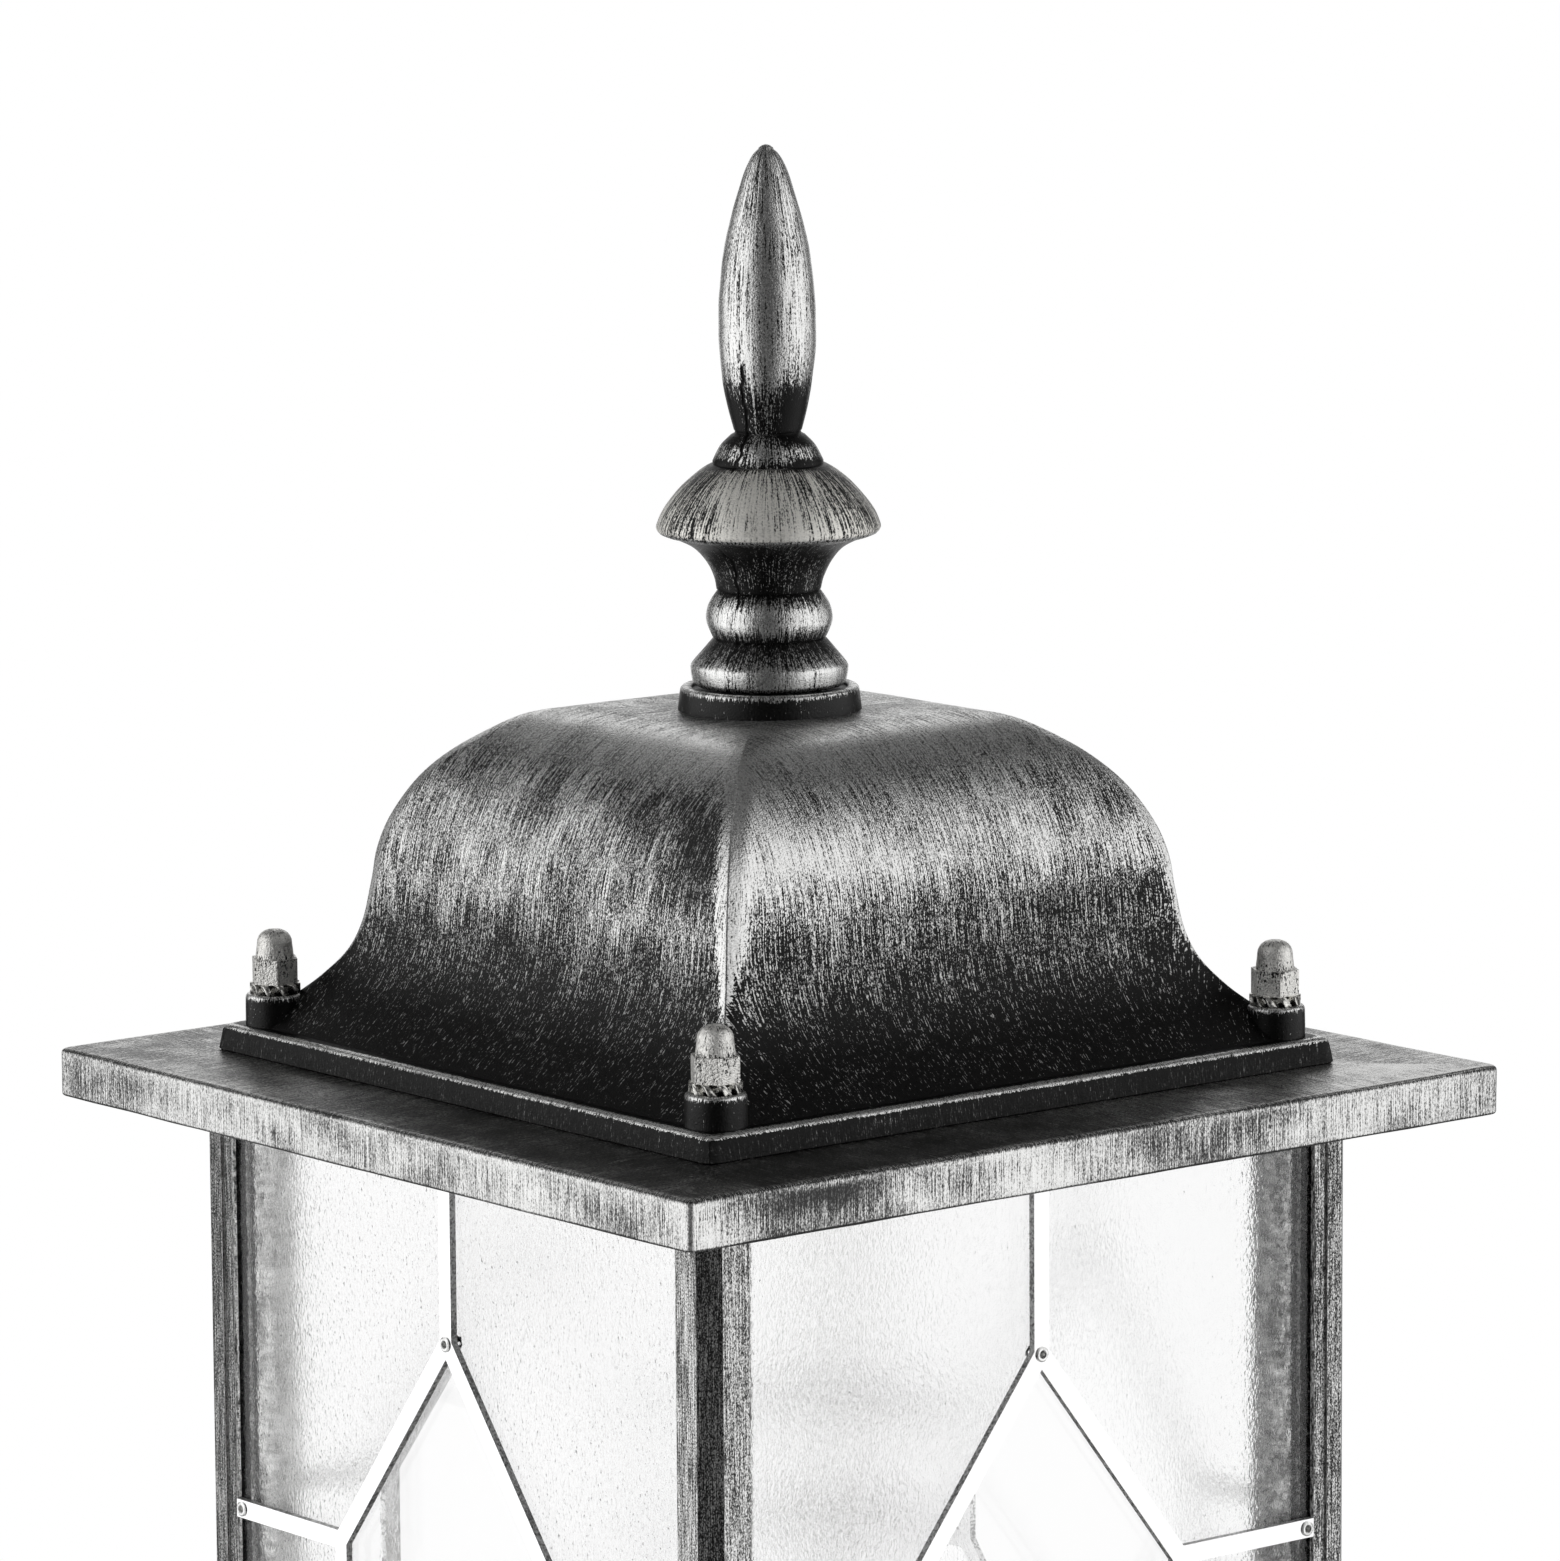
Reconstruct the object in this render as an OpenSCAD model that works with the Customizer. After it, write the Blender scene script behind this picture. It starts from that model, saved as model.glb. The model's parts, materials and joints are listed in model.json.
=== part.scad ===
// Outdoor wall light: a four-sided cast lantern with came lattices riveted on its
// glass, standing on a short bent arm from a wall plate. Millimetres, +Z up, the wall is the plane y = 0
// and the light stands out from it towards -Y. The origin is the centre of the wall
// plate on the wall. Inside head() z = 0 is the top face of the roof plate and the
// lantern's axis is x = y = 0.

/* [Roof] */
// Side of the square roof plate
roof_w = 190; // [184:1:198]
// Height of the roof plate's rim
roof_rim_h = 9.2; // [8.5:0.1:11]
// Side of the square opening under the bell
roof_opening = 108; // [96:1:114]
// Wall of the cast bell
bell_wall = 3; // [2.5:0.1:3.5]

/* [Lantern body] */
// Height of the windows
window_h = 170; // [150:1:190]
// Half width of the posts' outer faces
post_s = 76.3; // [76:0.1:76.6]
// Bevel on each post's outer corner
post_bevel = 3.3; // [2.5:0.1:3.5]
// Thickness of the glass
glass_t = 3; // [2.8:0.1:3]
// Width of the came strips
came_w = 3.5; // [3:0.1:4]
// How far the came strips stand proud of the glass
came_t = 1.4; // [1:0.1:1.4]

/* [Base] */
// Side of the square base plate
base_w = 164; // [158:1:170]
// Height of the base plate's rim
base_h = 10; // [9:0.5:12]

/* [Arm and wall plate] */
// Distance from the wall to the lantern's axis
reach = 165; // [155:1:180]
// Height of the arm's level run above the wall plate's centre
arm_z = -16; // [-18:1:-12]
// Bend radius of the arm's centre line
bend_r = 40; // [34:1:44]
// Outer diameter of the arm
arm_d = 24; // [22:1:26]
// Bore of the arm
arm_bore = 15; // [12:1:16]
// Width of the wall plate
plate_w = 100; // [92:1:110]
// Height of the wall plate
plate_h = 124; // [122:1:134]
// Distance between the two wall screws
wall_spacing = 60; // [56:1:66]

/* [Fasteners] */
// Thread diameter of the roof studs
stud_d = 5; // [4.8:0.1:5]
// Across-flats size of the cap nuts
nut_af = 8; // [7.8:0.1:8.2]
// Thread diameter of the finial's stud
finial_d = 6; // [5:0.5:6]

/* [Hidden] */
$fn = 48;

black = [0.16, 0.16, 0.16];
silver = [0.62, 0.62, 0.61];
gap = 0.3;                                // clearance round the panes
cage_top = -4.5;                          // the cage's top, under plate and gasket
win_top = -13;                            // what the roof's rim hides ends here
win_bot = win_top - window_h;
cage_bot = win_bot - 10;
base_bot = cage_bot - base_h;
floor_z = win_bot - 5;                    // the glass stands here, in the bottom groove
arm_rise = 10;
arm_top_t = 8;
roof_z = arm_z + bend_r + arm_rise + arm_top_t - base_bot;
pin = 65.8;                               // the studs stand at +-pin
seat = post_s - 1.5;                      // the glass's outer face
glass_in = seat - glass_t;
pane_x = 69.6;                            // half width of a glazed panel
apex_z = win_top - 30.6;                  // the lattice's upper point
knee_z = win_top - 73;                    // its upper side corners
knee_x = 33.2;
knee2_z = win_top + win_bot - knee_z;     // the same, mirrored below
apex2_z = win_top + win_bot - apex_z;
eye_x = 64.6;

// ---- helpers ----
module head() { translate([0, -reach, roof_z]) children(); }
module at_pins(s = pin) { for (i = [-1, 1], j = [-1, 1]) translate([i * s, j * s, 0]) children(); }
// section polygons stood up across X and across Y
module across_x(len) { rotate([90, 0, 0]) linear_extrude(height = len, center = true) children(); }
module across_y(len) { rotate([90, 0, 90]) linear_extrude(height = len, center = true) children(); }
// a smooth curve through hand-chosen points
function spot(p, i, t) = let (a = p[max(i - 1, 0)], b = p[i], c = p[i + 1], d = p[min(i + 2, len(p) - 1)])
  0.5 * (2 * b + (c - a) * t + (2 * a - 5 * b + 4 * c - d) * t * t + (3 * b - a - 3 * c + d) * t * t * t);
function curve(p, n) = [for (i = [0 : len(p) - 2], k = [0 : n - 1]) spot(p, i, k / n), p[len(p) - 1]];
function mirrored(p) = concat(p, [for (i = [len(p) - 1 : -1 : 0]) [-p[i][0], p[i][1]]]);
function arc(c, r, a0, a1, n) = [for (i = [0 : n]) c + r * [cos(a0 + (a1 - a0) * i / n), sin(a0 + (a1 - a0) * i / n)]];
// a square with round corners
function soft_square(h, r, n) = concat(arc([h - r, h - r], r, 0, 90, n), arc([r - h, h - r], r, 90, 180, n),
  arc([r - h, r - h], r, 180, 270, n), arc([h - r, r - h], r, 270, 360, n));
function soft_rect(w, h, r, n) = concat(arc([w - r, h - r], r, 0, 90, n), arc([r - w, h - r], r, 90, 180, n),
  arc([r - w, r - h], r, 180, 270, n), arc([w - r, r - h], r, 270, 360, n));
// a square with cut corners
function cut_square(h, c) = [[h, c], [c, h], [-c, h], [-h, c], [-h, -c], [-c, -h], [c, -h], [h, -c]];
// a square slab with rounded edges all round, top at z = 0
module soft_slab(s, h, r) {
  sec = mirrored(concat(arc([s - r / 2, -h + r / 2], r / 2, 270, 360, 3), arc([s - r, -r], r, 0, 90, 5)));
  intersection() {
    across_x(2 * s + 2) polygon(sec);
    across_y(2 * s + 2) polygon(sec);
    translate([0, 0, -h - 1]) linear_extrude(height = h + 2) polygon(soft_square(s, r, 5));
  }
}
module box2(a, b) { translate(a) cube(b - a); }
module hexa(af, h) { cylinder(d = af / cos(30), h = h, $fn = 6); }
module cap_nut(af, h1, h2, d, depth) {
  difference() {
    union() {
      hexa(af, h1);
      rotate_extrude() polygon(concat([[0, h1 - 0.5], [af * 0.45, h1 - 0.5], [af * 0.45, h1], [af * 0.41, h2 - 2.6]],
        arc([af * 0.41 - 2.5, h2 - 2.5], 2.5, 0, 90, 6), [[0, h2]]));
    }
    translate([0, 0, -1]) cylinder(d = d, h = depth + 1);
  }
}

// ---- roof ----
finial_pts = [[14.3, 71.2], [14.5, 72.6], [14.3, 73.7], [12.4, 75.9], [10.4, 78.2]];
bead_pts = [[10.5, 78.6], [11.5, 81], [11.6, 82.8], [11, 84.8], [9.6, 86.9]];
waist_pts = [[9.6, 87.4], [10.1, 89.6], [11.6, 92.6], [14, 95.2], [17.5, 97]];
cap_pts = [[20.6, 99.2], [19.7, 101.4], [18, 104], [15.4, 106.9], [12.6, 109.2], [10.8, 110.3]];
collar_pts = [[10.2, 111], [9.5, 112.5], [8.5, 114.1], [6.8, 115.8]];
spear_pts = [[6.3, 116.8], [7.1, 120], [8.1, 125], [8.7, 130], [9, 135], [8.8, 141], [8, 148.5],
  [6.6, 155], [4.7, 161.7], [3.4, 165.2], [2.1, 167.4], [0, 168.9]];
module finial() color(silver) head() difference() {
  rotate_extrude() polygon(concat([[0, 69.6], [13.6, 69.6], [14.1, 70.2]], curve(finial_pts, 2), curve(bead_pts, 2),
    curve(waist_pts, 3), [[20, 97.7], [20.5, 98.3]], curve(cap_pts, 3), curve(collar_pts, 2), curve(spear_pts, 3)));
  translate([0, 0, 60]) cylinder(d = finial_d, h = 22);
}
module finial_stud() color("gray") head() translate([0, 0, 53.5]) cylinder(d = finial_d, h = 27.5);
module finial_washer() color("gray") head() difference() {
  translate([0, 0, 60.5]) cylinder(d = 18, h = 1.5);
  translate([0, 0, 60]) cylinder(d = finial_d + 0.6, h = 3);
}
module finial_nut() color("gray") head() difference() {
  translate([0, 0, 55.5]) hexa(10, 5);
  translate([0, 0, 55]) cylinder(d = finial_d, h = 6);
}

bell_pts = [[70, 5], [63, 11.2], [59.4, 15], [56.4, 19.5], [54.6, 25], [53.6, 32], [52.8, 38.5], [50.8, 45],
  [47, 52], [42.2, 57.4], [36, 62], [31.5, 64.2], [26, 65]];
bell_in = [[62, 5], [59, 10], [55.4, 15], [53.2, 20], [51.6, 25.5], [50.6, 32], [49.8, 37.6], [48, 43.6],
  [44.6, 49.8], [40.2, 54.9], [34.6, 59.2], [30.6, 61.3], [26, 62]];
module bell_roof() color(black) head() difference() {
  union() {
    intersection() {
      across_x(160) polygon(mirrored(concat([[74, 0], [73.2, 4.1], [72.3, 5]], curve(bell_pts, 3))));
      across_y(160) polygon(mirrored(concat([[74, 0], [73.2, 4.1], [72.3, 5]], curve(bell_pts, 3))));
      translate([0, 0, -1]) linear_extrude(height = 80) polygon(soft_square(74, 4, 4));
    }
    at_pins() rotate_extrude() polygon([[0, 1], [5.6, 1], [5.5, 10.2], [4.7, 11], [0, 11]]);
    rotate_extrude() polygon([[0, 62.5], [17, 62.5], [16.9, 65], [16.4, 69], [15.8, 69.6], [0, 69.6]]);
  }
  translate([0, 0, 3 - bell_wall]) intersection() {
    across_x(160) polygon(mirrored(concat([[62, -2]], curve(bell_in, 2))));
    across_y(160) polygon(mirrored(concat([[62, -2]], curve(bell_in, 2))));
  }
  at_pins() translate([0, 0, 11]) cylinder(d = 10.4, h = 4);
  at_pins() translate([0, 0, -1]) cylinder(d = stud_d + 0.5, h = 14);
  translate([0, 0, 60]) cylinder(d = finial_d + 0.5, h = 12);
}
module roof_plate() color(silver) head() difference() {
  soft_slab(roof_w / 2, roof_rim_h, 2);
  box2([3 - roof_w / 2, 3 - roof_w / 2, -20], [roof_w / 2 - 3, roof_w / 2 - 3, -3]);
  translate([0, 0, -5]) linear_extrude(height = 6) polygon(soft_square(roof_opening / 2, 8, 4));
  at_pins() translate([0, 0, -5]) cylinder(d = stud_d + 0.5, h = 6);
}
module roof_gasket() color("dimgray") head() difference() {
  translate([0, 0, cage_top]) linear_extrude(height = 1.5) polygon(cut_square(76, 73));
  translate([0, 0, -6]) linear_extrude(height = 4) polygon(cut_square(61.5, 57));
  at_pins() translate([0, 0, -6]) cylinder(d = stud_d + 0.5, h = 4);
}
module roof_studs() color("gray") head() at_pins() translate([0, 0, -24]) cylinder(d = stud_d, h = 43.5);
module lock_washers() color("silver") head() at_pins() translate([0, 0, 11]) intersection() {
  difference() {
    union() {
      translate([0, 0, 0.5]) cylinder(d = 7.6, h = 0.8);
      for (i = [0 : 9]) rotate([0, 0, i * 36]) translate([3.75, 0, 0.9]) rotate([38, 0, 0]) translate([-0.75, -0.55, -1.6]) cube([1.7, 1.1, 3.2]);
    }
    translate([0, 0, -1]) cylinder(d = stud_d + 0.2, h = 4);
  }
  cylinder(d = 9.5, h = 1.8);
}
module cap_nuts() color("silver") head() at_pins() translate([0, 0, 12.8]) cap_nut(nut_af, 4.7, 10, stud_d, 7);

// ---- cage ----
lip = post_s - 0.5;
post_sec = [[66.6, seat], [66.6, lip], [69.4, lip], [69.4, post_s], [post_s - post_bevel, post_s], [post_s, post_s - post_bevel],
  [post_s, 69.4], [lip, 69.4], [lip, 66.6], [seat, 66.6], [seat, pane_x + gap], [glass_in - gap, pane_x + gap],
  [glass_in - gap, 65.8], [65.8, 65.8], [65.8, glass_in - gap], [pane_x + gap, glass_in - gap], [pane_x + gap, seat]];
module ring_square(z0, z1, so, co, si) difference() {
  translate([0, 0, z0]) linear_extrude(height = z1 - z0) polygon(cut_square(so, co));
  box2([-si, -si, z0 - 1], [si, si, z1 + 1]);
}
module cage() color(black) head() difference() {
  union() {
    for (a = [0 : 90 : 270]) rotate([0, 0, a]) {
      translate([0, 0, cage_bot]) linear_extrude(height = cage_top - cage_bot) polygon(post_sec);
      translate([pin, pin, cage_bot]) cylinder(r = 5, h = cage_top - cage_bot);
    }
    ring_square(cage_top - 7.5, cage_top, 70, 67, 61.5);
    ring_square(cage_bot, floor_z, lip, 2 * post_s - post_bevel - lip, 61.5);
    ring_square(floor_z - 1, win_bot, lip, 2 * post_s - post_bevel - lip, seat);
    ring_square(floor_z - 1, win_bot, glass_in - gap, 68, 61.5);
  }
  at_pins() translate([0, 0, cage_top - 22]) cylinder(d = stud_d, h = 30);
  at_pins() translate([0, 0, cage_bot - 5]) cylinder(d = stud_d, h = 19);
}

// ---- window panels: drawn on the front side, turned for the others ----
module strip(p, q, w) { d = q - p; translate(p) rotate(atan2(d[1], d[0])) translate([0, -w / 2]) square([norm(d), w]); }
module knot(p, w) { translate(p) circle(d = w); }
module lattice(w, top, bot, ends) {
  strip([0, apex_z], [0, top], w);
  strip([0, bot], [0, apex2_z], w);
  for (s = [-1, 1]) {
    strip([0, apex_z], [s * knee_x, knee_z], w);
    strip([s * knee_x, knee2_z], [s * knee_x, knee_z], w);
    strip([s * knee_x, knee2_z], [0, apex2_z], w);
    strip([s * knee_x, knee_z], [s * ends, knee_z], w);
    strip([s * knee_x, knee2_z], [s * ends, knee2_z], w);
    for (p = [[s * knee_x, knee_z], [s * knee_x, knee2_z]]) knot(p, w);
  }
  knot([0, apex_z], w);
  knot([0, apex2_z], w);
}
// a flat drawing (x, z) given a depth from y = -near to y = -far
module facing(near, far) { translate([0, -near, 0]) rotate([90, 0, 0]) linear_extrude(height = far - near) children(); }
module side(a) { head() rotate([0, 0, a]) children(); }
eyes = [[0, apex_z], [0, apex2_z], [eye_x, knee_z], [-eye_x, knee_z], [eye_x, knee2_z], [-eye_x, knee2_z]];
module at_eyes() for (e = eyes) translate([e[0], -seat, e[1]]) rotate([90, 0, 0]) children();
module came() color([0.85, 0.86, 0.87]) difference() {
  facing(seat, seat + came_t) lattice(came_w, cage_top - 1, win_bot + 0.3, 66.3);
  at_eyes() translate([0, 0, -1]) cylinder(d = 1.8, h = 5);
}
module pane() color([0.85, 0.9, 0.9, 0.4]) difference() {
  facing(glass_in, seat) translate([-pane_x, floor_z]) square([2 * pane_x, cage_top - 0.5 - floor_z]);
  at_eyes() translate([0, 0, -5]) cylinder(d = 1.8, h = 10);
}
module came_front() side(0) came();
module came_right() side(90) came();
module came_back() side(180) came();
module came_left() side(270) came();
module pane_front() side(0) pane();
module pane_right() side(90) pane();
module pane_back() side(180) pane();
module pane_left() side(270) pane();
// tubular rivets, headed on the came and flared behind the glass
module came_rivets() color("silver") for (a = [0 : 90 : 270]) side(a) at_eyes() rotate_extrude()
  polygon([[0, -glass_t - 0.25], [1, -glass_t - 0.25], [1.15, -glass_t - 0.1], [1.15, -glass_t], [0.85, -glass_t], [0.85, came_t],
    [1.4, came_t], [1.4, came_t + 0.2], [1.15, came_t + 0.35], [0.8, came_t + 0.35], [0.6, came_t + 0.15], [0.6, 0.6], [0, 0.6]]);

// ---- base ----
module base_plate() color(black) head() difference() {
  union() {
    difference() {
      translate([0, 0, cage_bot]) soft_slab(base_w / 2, base_h, 2);
      box2([3 - base_w / 2, 3 - base_w / 2, base_bot - 5], [base_w / 2 - 3, base_w / 2 - 3, cage_bot - 4]);
    }
    translate([0, 0, base_bot]) cylinder(d = 50, h = base_h - 3);
  }
  translate([0, 0, base_bot - 5]) cylinder(d = 10.6, h = base_h + 10);
  at_pins() translate([0, 0, cage_bot - 8]) cylinder(d = stud_d + 0.5, h = 12);
}
module base_screws() color("gray") head() at_pins() translate([0, 0, cage_bot - 4]) {
  cylinder(d = stud_d, h = 15);
  difference() {
    rotate([180, 0, 0]) rotate_extrude() polygon([[0, 0], [4.7, 0], [4.7, 1.4], [3.6, 2.8], [2, 3.2], [0, 3.2]]);
    translate([-5, -0.5, -4]) cube([10, 1, 2]);
    translate([-0.5, -5, -4]) cube([1, 10, 2]);
  }
}
holder_bot = cage_bot + 20.5;
module nipple() color("silver") head() translate([0, 0, base_bot - arm_top_t]) difference() {
  cylinder(d = 10, h = holder_bot + 6.5 - base_bot + arm_top_t);
  translate([0, 0, -1]) cylinder(d = 7.4, h = 80);
}
module nipple_washer() color("gray") head() translate([0, 0, cage_bot]) difference() {
  cylinder(d = 24, h = 1.5);
  translate([0, 0, -1]) cylinder(d = 10.4, h = 4);
}
module nipple_nuts() color("gray") head() for (z = [cage_bot + 1.5, holder_bot - 4]) translate([0, 0, z]) difference() {
  hexa(14, 4);
  translate([0, 0, -1]) cylinder(d = 10, h = 6);
}
module lampholder_body() color([0.93, 0.92, 0.88]) head() translate([0, 0, holder_bot]) difference() {
  rotate_extrude() polygon(concat([[0, 0], [13, 0], [15, 1.5], [15, 11]], arc([19, 14.5], 1.5, 270, 360, 3),
    [[20.5, 50.5], [19.5, 52], [0, 52]]));
  translate([0, 0, -1]) cylinder(d = 10, h = 8);
  translate([0, 0, 6.5]) cylinder(d = 20, h = 5.5);
  translate([0, 0, 16]) cylinder(d = 32, h = 40);
  cylinder(d = 5.6, h = 20);
}
module screw_shell() color([0.8, 0.68, 0.4]) head() translate([0, 0, holder_bot + 16]) rotate_extrude()
  polygon([[8, 0], [15.8, 0], [15.8, 1], [14.3, 1.6], [14.3, 28], [13.5, 28], [13.5, 1.2], [8, 0.8]]);
module centre_contact() color([0.8, 0.68, 0.4]) head() translate([0, 0, holder_bot + 16]) {
  box2([-4.5, -2.5, 0], [4.5, 2.5, 0.8]);
  box2([3.7, -2.5, 0.7], [4.5, 2.5, 5.1]);
  box2([-4, -2.5, 5], [4.5, 2.5, 5.8]);
}

// ---- arm and wall plate ----
level_y = -(reach - bend_r);
module arm_path(d) {
  translate([0, -25, arm_z]) rotate([90, 0, 0]) cylinder(d = d, h = -level_y - 25);
  translate([0, level_y, arm_z + bend_r]) rotate([0, 90, 180]) rotate_extrude(angle = 90) translate([bend_r, 0]) circle(d = d);
  translate([0, -reach, arm_z + bend_r]) cylinder(d = d, h = arm_rise + 0.5);
}
module arm() color(black) difference() {
  union() {
    arm_path(arm_d);
    translate([0, -25, arm_z]) rotate([90, 0, 0]) rotate_extrude() polygon([[0, 0], [24, 0], [24, 4.5], [22.5, 6], [14.5, 6], [13, 9], [0, 9]]);
    translate([0, -reach, arm_z + bend_r + arm_rise]) rotate_extrude()
      polygon([[0, -4], [13, -4], [14.5, -1], [21.5, 0], [23, 1.5], [23, arm_top_t], [0, arm_top_t]]);
  }
  difference() {
    union() { arm_path(arm_bore); translate([0, -20, arm_z]) rotate([90, 0, 0]) cylinder(d = arm_bore, h = 20); }
    translate([0, -reach, arm_z + bend_r + arm_rise]) cylinder(d = 30, h = 20);
  }
  translate([0, -reach, arm_z + bend_r + arm_rise - 1]) cylinder(d = 10, h = 20);
  for (s = [-1, 1]) translate([s * 18, -20, arm_z]) rotate([90, 0, 0]) cylinder(d = stud_d, h = 10);
}
module arm_screws() color("gray") for (s = [-1, 1]) translate([s * 18, -22, arm_z]) {
  rotate([90, 0, 0]) cylinder(d = stud_d, h = 7.5);
  rotate([-90, 0, 0]) difference() {
    cylinder(d = 8.5, h = 3);
    translate([-0.5, -5, 1.5]) cube([1, 10, 2]);
    translate([-5, -0.5, 1.5]) cube([10, 1, 2]);
  }
}
stud_z = 53;
module wall_plate() color(black) difference() {
  union() {
    difference() {
      intersection() {
        translate([0, -2, 0]) rotate([90, 0, 0]) linear_extrude(height = 23) polygon(soft_rect(plate_w / 2, plate_h / 2, 8, 5));
        across_x(80) polygon(mirrored([[plate_w / 2, -80], [plate_w / 2, 80]]));
        rotate([90, 0, 90]) linear_extrude(height = 200, center = true) polygon([[-2, -plate_h / 2], [-21, -plate_h / 2], [-25, 4 - plate_h / 2],
          [-25, plate_h / 2 - 4], [-21, plate_h / 2], [-2, plate_h / 2]]);
        linear_extrude(height = 200, center = true) polygon([[-plate_w / 2, -2], [-plate_w / 2, -21], [4 - plate_w / 2, -25],
          [plate_w / 2 - 4, -25], [plate_w / 2, -21], [plate_w / 2, -2]]);
      }
      translate([0, 0, 0]) rotate([90, 0, 0]) linear_extrude(height = 22) polygon(soft_rect(plate_w / 2 - 4, plate_h / 2 - 4, 4, 4));
    }
    translate([0, -17, -40]) rotate([90, 0, 0]) cylinder(d = 9, h = 6);
  }
  translate([0, -20, arm_z]) rotate([90, 0, 0]) cylinder(d = arm_bore, h = 10);
  for (s = [-1, 1]) translate([s * 18, -20, arm_z]) rotate([90, 0, 0]) cylinder(d = stud_d + 0.5, h = 10);
  for (s = [-1, 1]) translate([0, -20, s * stud_z]) rotate([90, 0, 0]) cylinder(d = stud_d + 0.5, h = 10);
  translate([0, -10, -40]) rotate([90, 0, 0]) cylinder(d = 4, h = 12);
}
module wall_gasket() color("dimgray") rotate([90, 0, 0]) difference() {
  linear_extrude(height = 2) polygon(soft_rect(plate_w / 2, plate_h / 2, 8, 5));
  translate([0, 0, -1]) linear_extrude(height = 4) polygon(soft_rect(plate_w / 2 - 4, plate_h / 2 - 4, 4, 4));
}
module mounting_bar() color("gray") rotate([90, 0, 0]) difference() {
  linear_extrude(height = 2) polygon(soft_rect(11, stud_z + 4, 3, 4));
  for (s = [-1, 1]) {
    translate([0, s * wall_spacing / 2, -1]) cylinder(d = 5, h = 4);
    translate([0, s * stud_z, -1]) cylinder(d = stud_d, h = 4);
  }
}
module bar_studs() color("gray") for (s = [-1, 1]) translate([0, 0, s * stud_z]) rotate([90, 0, 0]) cylinder(d = stud_d, h = 32);
module bar_washers() color("gray") for (s = [-1, 1]) translate([0, -25, s * stud_z]) rotate([90, 0, 0]) difference() {
  cylinder(d = 10, h = 1);
  translate([0, 0, -1]) cylinder(d = stud_d + 0.3, h = 4);
}
module bar_cap_nuts() color("silver") for (s = [-1, 1]) translate([0, -26, s * stud_z]) rotate([90, 0, 0]) cap_nut(nut_af, 4.7, 10, stud_d, 7);
block_z = 3;
module terminal_block() color([0.9, 0.9, 0.88]) difference() {
  union() {
    box2([-17.5, -22, block_z], [17.5, -10, block_z + 18]);
    for (x = [-11, 0, 11]) translate([x, -14, block_z]) cylinder(d = 10, h = 18);
  }
  for (x = [-11, 0, 11]) {
    translate([x, -14, block_z - 1]) cylinder(d = 6, h = 20);
    for (z = [4.5, 13.5]) translate([x, -14, block_z + z]) rotate([-90, 0, 0]) cylinder(d = 3.2, h = 10);
  }
}
module terminal_tubes() color([0.8, 0.68, 0.4]) for (x = [-11, 0, 11]) translate([x, -14, block_z + 1]) difference() {
  cylinder(d = 6, h = 16);
  translate([0, 0, -1]) cylinder(d = 3.6, h = 20);
  for (z = [3.5, 12.5]) translate([0, 0, z]) rotate([-90, 0, 0]) cylinder(d = 3, h = 5);
}
module terminal_screws() color("silver") for (x = [-11, 0, 11], z = [4.5, 13.5]) translate([x, -12, block_z + z]) rotate([-90, 0, 0]) difference() {
  cylinder(d = 3, h = 2.6);
  translate([-2, -0.3, 1.8]) cube([4, 0.6, 2]);
}
module earth_screw() color("gray") translate([0, -17, -40]) {
  rotate([90, 0, 0]) cylinder(d = 4, h = 4.6);
  rotate([-90, 0, 0]) difference() {
    cylinder(d = 7.5, h = 2.5);
    translate([-0.5, -5, 1.3]) cube([1, 10, 2]);
    translate([-5, -0.5, 1.3]) cube([10, 1, 2]);
  }
}
// the lead's centre line as (y, z), from the terminal block to the lampholder
lead_end = roof_z + holder_bot + 16;
lead_pts = concat([[-14, block_z + 1], [-14.2, 0], [-15.5, -6], [-18.5, -11], [-23, -14.4], [-28, arm_z + 0.2]],
  [for (i = [0 : 5]) [-36 + (level_y + 36) * i / 5, arm_z]],
  [for (i = [1 : 6]) [level_y - bend_r * sin(15 * i), arm_z + bend_r - bend_r * cos(15 * i)]],
  [for (i = [1 : 5]) [-reach, arm_z + bend_r + (lead_end - arm_z - bend_r) * i / 5]]);
lead_r = 2.5;
sides = 8;
function heading(i) = let (a = lead_pts[max(i - 1, 0)], b = lead_pts[min(i + 1, len(lead_pts) - 1)], d = b - a) d / norm(d);
function ring(i) = let (t = i == 0 ? [0, -1] : i == len(lead_pts) - 1 ? [0, 1] : heading(i))
  [for (k = [0 : sides - 1]) let (a = 360 * k / sides) [lead_r * cos(a), lead_pts[i][0] - lead_r * sin(a) * t[1], lead_pts[i][1] + lead_r * sin(a) * t[0]]];
rings = len(lead_pts);
module inner_lead() color([0.15, 0.15, 0.15]) polyhedron(
  points = [for (i = [0 : rings - 1]) each ring(i)],
  faces = concat([[for (k = [0 : sides - 1]) k]], [[for (k = [sides - 1 : -1 : 0]) (rings - 1) * sides + k]],
    [for (i = [0 : rings - 2], k = [0 : sides - 1]) let (m = (k + 1) % sides) [i * sides + m, i * sides + k, (i + 1) * sides + k, (i + 1) * sides + m]]),
  convexity = 6);

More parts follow.
